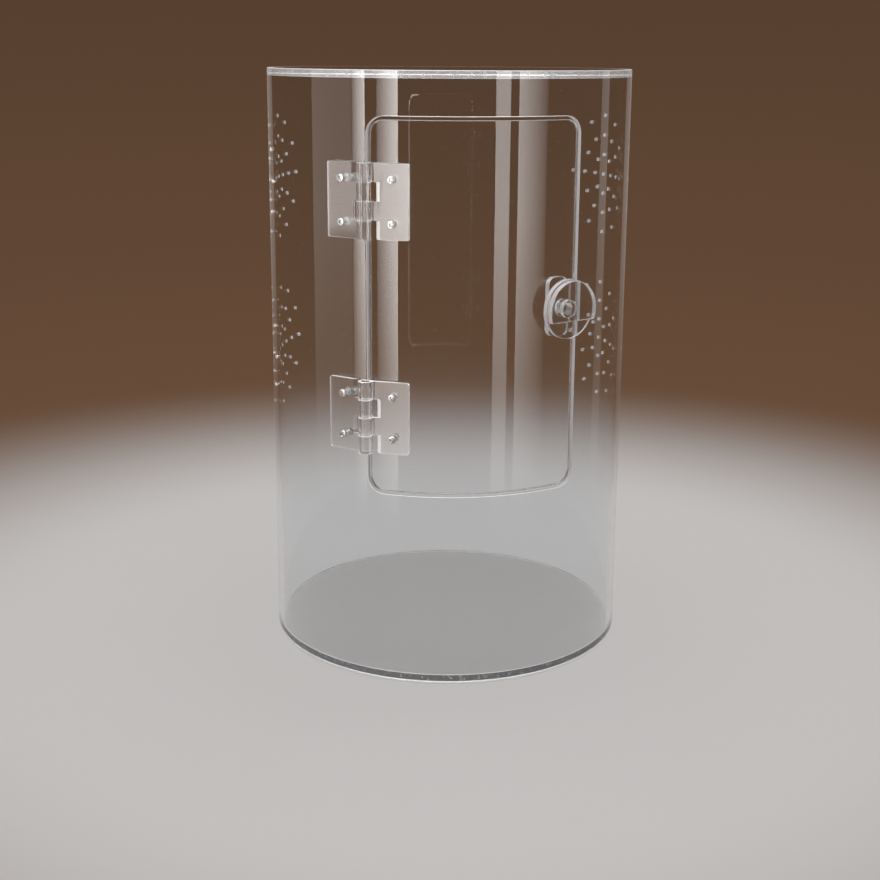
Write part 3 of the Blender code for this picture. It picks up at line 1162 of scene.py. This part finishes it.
    def _disc(self, node: str) -> bpy.types.Mesh:
        """A disc with broken edges that fills the tube's bore at a node's heights."""
        low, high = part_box(node)
        reach = self.tube.inner - self.disc_gap
        edge = self.disc_edge
        profile = [(0.0, high.z), (reach - edge, high.z), (reach, high.z - edge)]
        profile += [(reach, low.z + edge), (reach - edge, low.z), (0.0, low.z)]
        mesh = smoothed(turned(profile, self.disc_steps))
        dress(mesh, self.finishes.weld, self.finishes.rim, self.finishes.disc)
        # An upright side is 0, a sloped edge 1 and a flat face 2
        for face in mesh.polygons:
            face.material_index = round(2 * abs(face.normal.z))
        return mesh


def drills(
    tube: Tube,
    places: Iterable[Point2],
    radius: float,
    overrun: float,
    sides: int = 32,
) -> bpy.types.Mesh:
    """Rods that point straight out through the wall.

    Args:
        tube: The tube that they go through.
        places: Their angles and heights.
        radius: Their radius.
        overrun: How far they reach past the wall on both sides.
        sides: How many faces go round each.

    Returns:
        One mesh of all of them.
    """
    half = tube.wall / 2 + overrun
    bm = bmesh.new()
    for angle, height in places:
        bit = rod(radius, -half, half, sides)
        bit.transform(tube.place(angle, tube.radius - tube.wall / 2, height))
        bm.from_mesh(bit)
    mesh = bpy.data.meshes.new("drills")
    bm.to_mesh(mesh)
    bm.free()
    return mesh


@dataclass
class Door:
    """The curved door, a piece of the tube's own wall with sawn edges."""

    tube: Tube
    finishes: Finishes
    outline: DoorOutline
    screw_places: Sequence[Point2]
    post_place: Point2
    screw_hole: float = 0.0013
    post_hole: float = 0.0033
    post_sides: int = 64
    overrun: float = 0.002

    def build(self) -> None:
        """Build and dress the door."""
        panel = combined(self._blank(), drills(self.tube, self.screw_places, self.screw_hole, self.overrun))
        post = drills(self.tube, [self.post_place], self.post_hole, self.overrun, self.post_sides)
        panel = combined(panel, post)
        self.tube.shaded(panel, (self.finishes.door, self.finishes.smoothed_edge))
        Piece("clear_door", panel, Body.DOOR, Slot.DOOR, ["door_panel"]).add()

    def _blank(self) -> bpy.types.Mesh:
        """The door with broken edges, before any hole is drilled."""
        tube = self.tube
        face = self.outline.grown(-tube.edge)
        loops = [
            face.loop(tube, tube.radius),
            self.outline.loop(tube, tube.radius - tube.edge),
            self.outline.loop(tube, tube.inner + tube.edge),
            face.loop(tube, tube.inner),
        ]
        bm = bmesh.new()
        rows = [[bm.verts.new(point) for point in loop] for loop in loops]
        for first, second in zip(rows, rows[1:]):
            skin(bm, first, second)
        for row in (rows[0], rows[-1]):
            for index in range(len(row) // 2 - 1):
                bm.faces.new((row[index], row[index + 1], row[-2 - index], row[-1 - index]))
        return mesh_from(bm)


@dataclass
class Hinge:
    """One moulded hinge: two leaves of one shape, turned end for end, and the pin through them."""

    tube: Tube
    finishes: Finishes
    level: Level
    length: float = 0.038
    reach: float = 0.023
    thickness: float = 0.002
    notch: float = 0.0056
    notch_slope: float = 0.0024
    barrel: float = 0.00375
    bore: float = 0.0023
    pin: float = 0.0020
    pin_edge: float = 0.0003
    knuckles: int = 4
    knuckle_gap: float = 0.0003
    seat_gap: float = 0.0003
    corner: float = 0.0009
    fillet: float = 0.0012
    edge: float = 0.00022
    screw_reach: float = 0.0137
    screw_spread: float = 0.022
    screw_hole: float = 0.0013
    cut_facing: float = 0.6
    barrel_steps: int = 64
    hole_steps: int = 32
    corner_steps: int = 6

    @property
    def axis(self) -> Vector:
        """The middle of the pin."""
        low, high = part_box(f"{self.level.value}_hinge_pin")
        return (low + high) / 2

    @property
    def angle(self) -> float:
        """The pin's angle on the tube."""
        return math.atan2(self.axis.x, -self.axis.y)

    @property
    def screw_angle(self) -> float:
        """How far round the tube the screws stand from the pin."""
        return math.asin(self.screw_reach / self.tube.radius)

    @property
    def orbit(self) -> float:
        """The pin's distance from the tube's axis."""
        return math.hypot(self.axis.x, self.axis.y)

    @property
    def lift(self) -> float:
        """The pin's height above the back of a leaf."""
        return self.orbit * math.cos(self.screw_angle) - self.tube.radius - self.seat_gap

    def screws(self, leaf: Leaf) -> list[Point2]:
        """The angles and heights of one leaf's screws."""
        angle = self.angle + leaf.value * self.screw_angle
        return [(angle, self.axis.z + end * self.screw_spread / 2) for end in (-1, 1)]

    def build(self) -> None:
        """Build and dress both leaves and the pin."""
        for leaf in Leaf:
            mesh = self._leaf()
            self._dress(mesh, leaf)
            roll = HALF_TURN if leaf is Leaf.TUBE else 0.0
            tilt = self.tube.place(self.angle + leaf.value * self.screw_angle, 0.0, 0.0, roll)
            mesh.transform(Matrix.Translation(self.axis) @ tilt)
            node = f"{self.level.value}_hinge_{leaf.owner}_leaf"
            Piece(f"{self.level.value}_{leaf.owner}_leaf", mesh, leaf.body, Slot.HINGE, [node]).add()
        pin = smoothed(self._pin())
        pin.transform(Matrix.Translation(self.axis))
        pin.materials.append(self.finishes.hinge)
        node = f"{self.level.value}_hinge_pin"
        Piece(f"{self.level.value}_pin", pin, Body.ENCLOSURE, Slot.HINGE, [node]).add()

    def _dress(self, mesh: bpy.types.Mesh, leaf: Leaf) -> None:
        """Clear faces, with a cut finish on the knuckles' ends and round the plate.

        Args:
            mesh: The leaf about its pin.
            leaf: Which it is. The slopes of the door leaf's notches get the white rim finish as a painted
                highlight; the tube leaf's stay clear.
        """
        dress(mesh, self.finishes.hinge, self.finishes.rim)
        for face in mesh.polygons:
            is_end = abs(face.normal.y) > self.cut_facing
            # Painted highlight: only the door leaf's notch slopes get the white rim finish, standing in for
            # a lit face
            is_painted_highlight = leaf is Leaf.DOOR and face.normal.x < -self.cut_facing
            is_side = face.normal.x > self.cut_facing or is_painted_highlight
            is_plate = face.center.x > self.barrel + self.fillet / 2
            face.material_index = 1 if is_end or (is_side and is_plate) else 0

    def _leaf(self) -> bpy.types.Mesh:
        """One leaf about its pin.

        Returns:
            The leaf, with X along the plate, Y up the pin and Z away from the tube.
        """
        half = self.length / 2
        blank = prism(self._section(), -half, half)
        blank.transform(Matrix.Rotation(QUARTER_TURN, 4, "X"))
        pitch = self.length / self.knuckles
        for index in range(1, self.knuckles, 2):
            top = half - index * pitch + self.knuckle_gap / 2
            bottom = half - (index + 1) * pitch - self.knuckle_gap / 2
            if index == self.knuckles - 1:
                # The last notch has to run clear of the leaf's end
                bottom -= self.knuckle_gap
            blank = combined(blank, self._notch_block(bottom, top))
        blank = combined(blank, self._corner_tool(), "INTERSECT")
        bore = rod(self.bore, -half - self.fillet, half + self.fillet, self.barrel_steps)
        bore.transform(Matrix.Rotation(QUARTER_TURN, 4, "X"))
        blank = combined(blank, bore)
        screw_x = self.orbit * math.sin(self.screw_angle)
        for end in (-1, 1):
            hole = rod(self.screw_hole, -self.barrel, self.barrel, self.hole_steps)
            hole.transform(Matrix.Translation((screw_x, end * self.screw_spread / 2, -self.lift)))
            blank = combined(blank, hole)
        return edged(blank, self.edge, segments=2)

    def _section(self) -> list[Point2]:
        """The leaf's outline across the pin.

        Returns:
            The outline of a barrel that runs out into a plate, with a fillet on top.
        """
        back = -self.lift
        front = back + self.thickness
        rise = front + self.fillet
        away = math.sqrt((self.barrel + self.fillet) ** 2 - rise ** 2)
        touch = math.atan2(rise, away)
        leave = math.asin(back / self.barrel)
        fillet = arc((away, rise), self.fillet, -QUARTER_TURN, touch - HALF_TURN, self.corner_steps)
        barrel = arc((0.0, 0.0), self.barrel, touch, math.tau + leave, self.barrel_steps)
        return [(self.reach, back), (self.reach, front), *fillet, *barrel[1:]]

    def _notch_block(self, low: float, high: float) -> bpy.types.Mesh:
        """The space that a knuckle of the other leaf turns in.

        Args:
            low: Its lower end along the pin.
            high: Its upper end.

        Returns:
            The tool, whose side towards the plate slopes outwards.
        """
        far = self.barrel + self.fillet
        back = -self.lift
        sloped = self.notch + self.notch_slope
        outline = [(-far, -far), (self.notch, -far), (self.notch, back), (sloped, back + self.thickness)]
        outline += [(sloped, far), (-far, far)]
        block = prism(outline, -high, -low)
        block.transform(Matrix.Rotation(QUARTER_TURN, 4, "X"))
        return block

    def _corner_tool(self) -> bpy.types.Mesh:
        """A block that keeps the leaf but for the outer corners of its plate, which it rounds."""
        half = self.length / 2
        far = self.barrel + self.fillet
        x, y = self.reach - self.corner, half - self.corner
        start = arc((x, -y), self.corner, -QUARTER_TURN, 0.0, self.corner_steps)
        end = arc((x, y), self.corner, 0.0, QUARTER_TURN, self.corner_steps)
        return prism([(-far, -half), *start, *end, (-far, half)], -far, far)

    def _pin(self) -> bpy.types.Mesh:
        """A plain rod with broken ends."""
        half = self.length / 2
        edge = self.pin_edge
        profile = [(0.0, half), (self.pin - edge, half), (self.pin, half - edge)]
        profile += [(self.pin, edge - half), (self.pin - edge, -half), (0.0, -half)]
        return turned(profile, self.barrel_steps)


@dataclass
class Fasteners:
    """The hinge screws and their nuts, one shape of each, set out by their places."""

    tube: Tube
    finishes: Finishes
    hinges: Sequence[Hinge]
    head_radius: float = 0.0021
    head_height: float = 0.0013
    head_edge: float = 0.00045
    head_foot: float = 0.00008
    head_steps: int = 5
    crown_share: float = 0.12
    shank: float = 0.00098
    length: float = 0.010
    thread_pitch: float = 0.0004
    thread_depth: float = 0.00022
    tip_share: float = 0.8
    rows_per_turn: int = 6
    sides: int = 32
    turn: float = math.radians(23.0)
    nut_turn: float = math.radians(17.0)
    upper_extra: float = 0.6
    recess_reach: float = 0.00132
    recess_width: float = 0.00088
    recess_depth: float = 0.00095
    recess_taper: float = 0.45
    nut_flats: float = 0.004
    nut_height: float = 0.0016
    nut_bore: float = 0.00103
    nut_chamfer: float = 0.00018
    nut_seat: float = 0.97
    nut_slope: float = math.radians(30.0)
    nut_steps: int = 96
    seat_gap: float = 0.0003

    def build(self) -> None:
        """Build the screws and nuts of each body as one mesh each."""
        hinge = self.hinges[0]
        head_seat = self.tube.radius + 2 * self.seat_gap + hinge.thickness
        nut_seat = self.tube.inner - self.seat_gap - self.nut_height / 2
        for leaf in Leaf:
            for word, shape, seat, turn in (
                ("screw", self._screw(), head_seat, self.turn),
                ("nut", self._nut(), nut_seat, self.nut_turn),
            ):
                mesh = smoothed(self._set_out(leaf, shape, seat, turn))
                nodes = [
                    f"{hinge.level.value}_hinge_{leaf.owner}_{end}_{word}"
                    for hinge in self.hinges
                    for end in ("bottom", "top")
                ]
                Piece(f"{leaf.owner}_leaf_{word}s", mesh, leaf.body, Slot.STEEL, nodes).add()

    def _set_out(self, leaf: Leaf, shape: bpy.types.Mesh, seat: float, turn: float) -> bpy.types.Mesh:
        """Copies of a fastener at the four screw places of one leaf side.

        Args:
            leaf: The side of the pins.
            shape: The fastener about Z, which points out of the tube.
            seat: The distance of its origin from the tube's axis.
            turn: How far each is turned about its own axis, one way at the top and the other below.

        Returns:
            One mesh.
        """
        lower, upper = self.hinges
        tree = GeometryTree("hinge_fasteners", {
            "Angle": lower.angle + leaf.value * lower.screw_angle,
            "Seat": seat,
            "Lower Height": lower.axis.z,
            "Upper Height": upper.axis.z,
            "Spread": lower.screw_spread,
            "Turn": turn,
            "Material": self.finishes.steel,
        })
        index = tree.node("GeometryNodeInputIndex")
        end = index.math("MODULO", 2.0) * 2.0 - 1.0
        upper_share = (index / 2.0).math("FLOOR")
        rise = tree.given("Upper Height") - tree.given("Lower Height")
        height = tree.given("Lower Height") + upper_share * rise + end * tree.given("Spread") / 2.0
        angle = tree.given("Angle")
        where = tree.on_tube(angle, tree.given("Seat"), height)
        line = tree.node("GeometryNodeMeshLine", sockets={"Count": 4})
        points = tree.node("GeometryNodeSetPosition", sockets={"Geometry": line, "Position": where})
        own_turn = tree.given("Turn") * end * (1.0 + self.upper_extra * upper_share)
        rotation = tree.vector(X=QUARTER_TURN, Y=-own_turn, Z=angle)
        sockets = {"Points": points, "Instance": tree.given("Geometry"), "Rotation": rotation}
        tree.end(tree.node("GeometryNodeInstanceOnPoints", sockets=sockets))
        return tree.run(shape)

    def _screw(self) -> bpy.types.Mesh:
        """A pan-head screw with a cross recess.

        Returns:
            The screw, whose head sits on Z = 0 and whose threaded shank runs down.
        """
        loops = [self._ring(radius, height) for radius, height in self._head_profile()]
        step = self.thread_pitch / self.rows_per_turn
        rows = int(self.length / step)
        for row in range(rows):
            loops.append(self._thread_ring(-row * step, row / self.rows_per_turn))
        tip = self.shank - self.thread_depth
        loops.append(self._ring(tip * self.tip_share, -self.length))
        loops.append(self._ring(0.0, -self.length))
        return combined(mesh_from(loft(loops)), self._recess())

    def _head_profile(self) -> list[Point2]:
        """The head's outline from its crown down to the shank."""
        edge = self.head_edge
        foot = self.head_foot
        steps = self.head_steps
        crown = self.head_height * self.crown_share
        shoulder = self.head_height - crown
        points = [(0.0, self.head_height)]
        for index in range(1, steps + 1):
            reach = (self.head_radius - edge) * index / steps
            points.append((reach, self.head_height - crown * (index / steps) ** 2))
        points += arc((self.head_radius - edge, shoulder - edge), edge, QUARTER_TURN, 0.0, steps)[1:]
        points += [(self.head_radius, foot), (self.head_radius - foot, 0.0), (self.shank, 0.0)]
        return points

    def _ring(self, radius: float, height: float) -> list[Vector]:
        """A level circle of points."""
        return around([(radius, height)] * self.sides)

    def _thread_ring(self, height: float, turns: float) -> list[Vector]:
        """A level ring through the thread, whose crest and root wind round it.

        Args:
            height: Its height.
            turns: How many turns the thread has made there.

        Returns:
            The ring.
        """
        points = []
        for index in range(self.sides):
            phase = (turns + index / self.sides) % 1.0
            root = abs(2.0 * phase - 1.0)
            points.append((self.shank - self.thread_depth * root, height))
        return around(points)

    def _recess(self) -> bpy.types.Mesh:
        """The cross-shaped tool that cuts the recess, narrower at its bottom.

        Returns:
            The tool, of its full size at the head's crown.
        """
        loops = []
        for side, share in ((1, 2.0 - self.recess_taper), (-1, self.recess_taper)):
            height = self.head_height + side * self.recess_depth
            reach = self.recess_reach * share
            width = self.recess_width * (0.5 + share / 2) / 2
            arm = [(reach, -width), (reach, width), (width, width)]
            loop = []
            for quarter in range(4):
                turn = Matrix.Rotation(quarter * QUARTER_TURN, 4, "Z")
                loop += [turn @ Vector((x, y, height)) for x, y in arm]
            loops.append(loop)
        return mesh_from(loft(loops))

    def _nut(self) -> bpy.types.Mesh:
        """A hexagon nut about Z.

        Returns:
            The nut, whose corners are turned off at both ends.
        """
        half = self.nut_height / 2
        flat = self.nut_flats / 2
        seat = flat * self.nut_seat
        slope = math.tan(self.nut_slope)
        sixth = math.tau / 6
        turns = [math.tau * index / self.nut_steps for index in range(self.nut_steps)]
        reaches = [flat / math.cos((turn + sixth / 2) % sixth - sixth / 2) for turn in turns]
        bore, chamfer = self.nut_bore, self.nut_chamfer
        ends = []
        for sign in (-1, 1):
            corners = [(reach, sign * (half - (reach - seat) * slope)) for reach in reaches]
            inner = [(seat, sign * half), (bore + chamfer, sign * half), (bore, sign * (half - chamfer))]
            ends.append([corners, *([point] * self.nut_steps for point in inner)])
        rings = [*reversed(ends[0]), *ends[1]]
        return mesh_from(loft([around(ring) for ring in rings], ring=True))


@dataclass
class Latch:
    """The turn latch: knob, arch-shaped grip, post and the catch behind the door."""

    tube: Tube
    finishes: Finishes
    knob_radius: float = 0.0155
    knob_thickness: float = 0.003
    standoff: float = 0.003
    grip_radius: float = 0.015
    grip_thickness: float = 0.003
    grip_chord: float = 0.006
    bond: float = 0.00005
    edge: float = 0.0004
    post: float = 0.003
    collar: float = 0.00475
    catch_standoff: float = 0.0018
    catch_length: float = 0.031
    catch_width: float = 0.012
    catch_thickness: float = 0.003
    catch_corner: float = 0.004
    boss: float = 0.0045
    seat_gap: float = 0.0003
    front_facing: float = 0.5
    down_facing: float = 0.95
    steps: int = 96

    @property
    def centre(self) -> Vector:
        """The middle of the knob."""
        low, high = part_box("latch_knob")
        return (low + high) / 2

    @property
    def place(self) -> Point2:
        """The latch's angle and height on the tube."""
        return (math.atan2(self.centre.x, -self.centre.y), self.centre.z)

    @property
    def knob_back(self) -> float:
        """The distance of the knob's back from the tube's axis."""
        return self.tube.radius + self.standoff

    def build(self) -> None:
        """Build and dress the four pieces."""
        angle, height = self.place
        for name, mesh, distance in (
            ("turn_knob", self._knob(), self.knob_back),
            ("turn_grip", self._grip(), self.knob_back + self.knob_thickness + self.bond),
            ("turn_post", self._post(), 0.0),
            ("turn_catch", self._catch(), self._catch_back),
        ):
            mesh.transform(self.tube.place(angle, distance, height))
            self._dress(mesh, angle)
            node = name.replace("turn", "latch")
            Piece(name, mesh, Body.LATCH, Slot.LATCH, [node]).add()

    def _dress(self, mesh: bpy.types.Mesh, angle: float) -> None:
        """Clear faces and clear lower edges, with a turned finish on the other rims.

        Args:
            mesh: The part, in its place.
            angle: The latch's angle on the tube.
        """
        dress(mesh, self.finishes.latch, self.finishes.turned_rim)
        out = self.tube.point(angle, 1.0, 0.0)
        for face in mesh.polygons:
            is_front = abs(face.normal.dot(out)) > self.front_facing
            is_below = face.normal.z < -self.down_facing
            face.material_index = 0 if is_front or is_below else 1

    @property
    def _catch_back(self) -> float:
        """The distance of the catch's back from the tube's axis."""
        return self.tube.inner - self.catch_standoff - self.catch_thickness

    def _knob(self) -> bpy.types.Mesh:
        """A disc about Z with round edges."""
        return edged(rod(self.knob_radius, 0.0, self.knob_thickness, self.steps), self.edge)

    def _grip(self) -> bpy.types.Mesh:
        """The arch: a disc with its lower part cut off flat."""
        drop = math.asin(self.grip_chord / self.grip_radius)
        outline = arc((0.0, 0.0), self.grip_radius, -drop, HALF_TURN + drop, self.steps)
        thickness = self.grip_thickness + self.seat_gap - self.bond
        return edged(prism(outline, 0.0, thickness), self.edge)

    def _post(self) -> bpy.types.Mesh:
        """The post, its collar behind the knob and its end in the catch.

        Returns:
            The post about Z, with its distances from the tube's axis as heights.
        """
        low, high = self.tube.radius + self.seat_gap, self.knob_back - self.bond
        edge = self.edge / 2
        profile = [(0.0, high), (self.collar - edge, high), (self.collar, high - edge)]
        profile += [(self.collar, low + edge), (self.collar - edge, low), (self.post, low)]
        profile += [(self.post, self._catch_back + edge), (self.post - edge, self._catch_back)]
        profile.append((0.0, self._catch_back))
        return smoothed(turned(profile, self.steps))

    def _catch(self) -> bpy.types.Mesh:
        """The catch behind the door.

        Returns:
            A plate with round corners, a boss towards the door and a socket for the post.
        """
        outline = rounded_box(self.catch_width, self.catch_length, self.catch_corner)
        plate = prism(outline, 0.0, self.catch_thickness)
        front = self.tube.inner - self.boss ** 2 / self.tube.inner - self.seat_gap - self._catch_back
        plate = combined(plate, rod(self.boss, 0.0, front, self.steps), "UNION")
        tool = rod(self.post + self.bond, -front, 2 * front, self.steps)
        return edged(combined(plate, tool), self.edge / 2, segments=2)


@dataclass(frozen=True)
class SoftBox:
    """An upright soft light that faces the tube, bright at one side and fading to the other."""

    name: str
    bearing: float
    width: float
    radiance: float
    left_share: float = 1.0
    right_share: float = 1.0
    distance: float = 0.355
    low: float = 0.0
    high: float = 1.0
    foot: float = 0.22
    colour: Colour = (1.0, 0.97, 0.955)

    def add(self, tube: Tube) -> None:
        """Put the light in the scene, turned to the tube's axis and shining on the object alone.

        Args:
            tube: The tube that it stands beside.
        """
        height = self.high - self.low
        data = bpy.data.lights.new(self.name, "AREA")
        data.shape = "RECTANGLE"
        data.size = self.width
        data.size_y = height
        data.color = self.colour
        data.energy = self.radiance * math.pi * self.width * height
        data.use_nodes = True
        tree = Tree(data.node_tree)
        across, upwards = tree.split(tree.node("ShaderNodeNewGeometry", output="Parametric"))
        faded = (upwards * (height / self.foot)).clamped()
        strength = (self.left_share + (self.right_share - self.left_share) * across) * faded
        glow = tree.node("ShaderNodeEmission", sockets={"Strength": strength})
        tree.node("ShaderNodeOutputLight", sockets={"Surface": glow})
        light = linked(self.name, data)
        light.matrix_world = tube.place(self.bearing, self.distance, self.low + height / 2)
        light.light_linking.receiver_collection = piece_collection()
        light.visible_camera = False
        light.visible_transmission = False


@dataclass
class Studio:
    """A pale round sweep, soft lights and the camera of the photograph's view."""

    tube: Tube
    floor_drop: float = 0.0004
    flat_radius: float = 0.50
    cove_radius: float = 1.30
    wall_top: float = 2.4
    cove_steps: int = 24
    sweep_steps: int = 128
    camera_place: Sequence[float] = (-0.1202, -0.7810, 0.3281)
    camera_heading: float = math.radians(8.45)
    camera_pitch: float = math.radians(13.57)
    camera_roll: float = math.radians(0.34)
    camera_lens: float = 57.13
    camera_shift: float = -0.0568
    sky: Colour = (0.80, 0.83, 0.88)
    sky_strength: float = 0.45
    boxes: Sequence[SoftBox] = field(default_factory=lambda: (
        SoftBox("key_strip", math.radians(-41.0), 0.072, 12.8, left_share=0.15),
        SoftBox("second_strip", math.radians(-57.5), 0.048, 12.0, left_share=0.15),
        SoftBox("left_veil", math.radians(-76.0), 0.177, 1.15),
        SoftBox("leaf_card", math.radians(-67.0), 0.07, 3.5, low=0.203, high=0.256, foot=0.01),
        SoftBox("right_strip", math.radians(19.4), 0.049, 6.0),
        SoftBox("right_wide", math.radians(36.5), 0.106, 6.5, right_share=0.1),
        SoftBox("right_rim", math.radians(90.0), 0.050, 0.9),
        SoftBox("back_left", math.radians(-153.0), 0.16, 0.25),
        SoftBox("back_right", math.radians(135.0), 0.16, 0.25),
    ))
    top_height: float = 1.45
    top_width: float = 1.1
    top_radiance: float = 4.8
    bounces: int = 32
    glossy_bounces: int = 8
    diffuse_bounces: int = 4
    open_bounces: int = 48

    def build(self) -> None:
        """Build the sweep, the lights, the sky and the camera."""
        self._sweep()
        for box in self.boxes:
            box.add(self.tube)
        self._top_light()
        self._sky()
        self._camera()
        cycles = bpy.context.scene.cycles
        cycles.max_bounces = self.bounces
        cycles.transmission_bounces = self.bounces
        cycles.glossy_bounces = self.glossy_bounces
        cycles.diffuse_bounces = self.diffuse_bounces
        cycles.transparent_max_bounces = self.open_bounces
        cycles.caustics_reflective = False
        cycles.caustics_refractive = False
        bpy.context.scene.view_settings.view_transform = "Standard"

    def _sweep(self) -> None:
        """A floor that curves up into a wall all the way round."""
        centre = (self.flat_radius, self.cove_radius)
        rise = arc(centre, self.cove_radius, -QUARTER_TURN, 0.0, self.cove_steps)
        profile = [(0.0, 0.0), *rise, (self.flat_radius + self.cove_radius, self.wall_top)]
        bm = bmesh.new()
        rings = []
        for radius, height in profile:
            spots = around([(radius, height - self.floor_drop)] * self.sweep_steps)
            rings.append([bm.verts.new(spot) for spot in spots])
        for first, second in zip(rings, rings[1:]):
            skin(bm, first, second)
        bmesh.ops.remove_doubles(bm, verts=bm.verts, dist=WELD_DISTANCE)
        mesh = bpy.data.meshes.new("studio_sweep")
        bm.to_mesh(mesh)
        bm.free()
        mesh.shade_smooth()
        dress(mesh, StageFinish("sweep_paint").material())
        linked("studio_sweep", mesh)

    def _top_light(self) -> None:
        """One broad soft light overhead."""
        data = bpy.data.lights.new("top_soft", "AREA")
        data.shape = "DISK"
        data.size = self.top_width
        data.energy = self.top_radiance * math.pi * math.pi * self.top_width ** 2 / 4
        light = linked("top_soft", data)
        light.location = (0.0, 0.0, self.top_height)
        light.visible_camera = False
        light.visible_transmission = False

    def _sky(self) -> None:
        """An even, dim light from all round."""
        world = bpy.data.worlds.new("studio_air")
        world.use_nodes = True
        background = world.node_tree.nodes["Background"]
        background.inputs["Color"].default_value = (*self.sky, 1.0)
        background.inputs["Strength"].default_value = self.sky_strength
        bpy.context.scene.world = world

    def _camera(self) -> None:
        """The camera at the photograph's viewing angle."""
        data = bpy.data.cameras.new("photo_view")
        data.lens = self.camera_lens
        data.shift_y = self.camera_shift
        camera = linked("photo_view", data)
        heading = Matrix.Rotation(-self.camera_heading, 4, "Z")
        pitch = Matrix.Rotation(QUARTER_TURN - self.camera_pitch, 4, "X")
        roll = Matrix.Rotation(self.camera_roll, 4, "Z")
        camera.matrix_world = Matrix.Translation(self.camera_place) @ heading @ pitch @ roll
        bpy.context.scene.camera = camera


@dataclass
class Terrarium:
    """The whole object, built from its sub-assemblies in order."""

    tube: Tube = field(default_factory=Tube.from_frame)
    finishes: Finishes = field(default_factory=Finishes.build)
    door_span: float = math.radians(65.0)
    door_bottom: float = 0.105
    door_top_inset: float = 0.023
    door_corner: float = 0.008
    saw_kerf: float = 0.0015

    def build(self) -> None:
        """Build every sub-assembly."""
        door_top = self.tube.height - self.door_top_inset
        outline = DoorOutline(
            width=self.door_span * self.tube.radius,
            height=door_top - self.door_bottom,
            middle=(door_top + self.door_bottom) / 2,
            corner=self.door_corner,
        )
        hinges = [Hinge(self.tube, self.finishes, level) for level in Level]
        latch = Latch(self.tube, self.finishes)
        screws = {leaf: [place for hinge in hinges for place in hinge.screws(leaf)] for leaf in Leaf}
        kerf = self.saw_kerf / 2
        Enclosure(self.tube, self.finishes, outline.grown(kerf), screws[Leaf.TUBE]).build()
        Door(self.tube, self.finishes, outline.grown(-kerf), screws[Leaf.DOOR], latch.place).build()
        for hinge in hinges:
            hinge.build()
        Fasteners(self.tube, self.finishes, hinges).build()
        latch.build()


def main() -> None:
    """Build the object and its studio."""
    logging.basicConfig(level=logging.INFO, format="%(name)s: %(message)s")
    terrarium = Terrarium()
    terrarium.build()
    Studio(terrarium.tube).build()


if __name__ == "__main__":
    main()
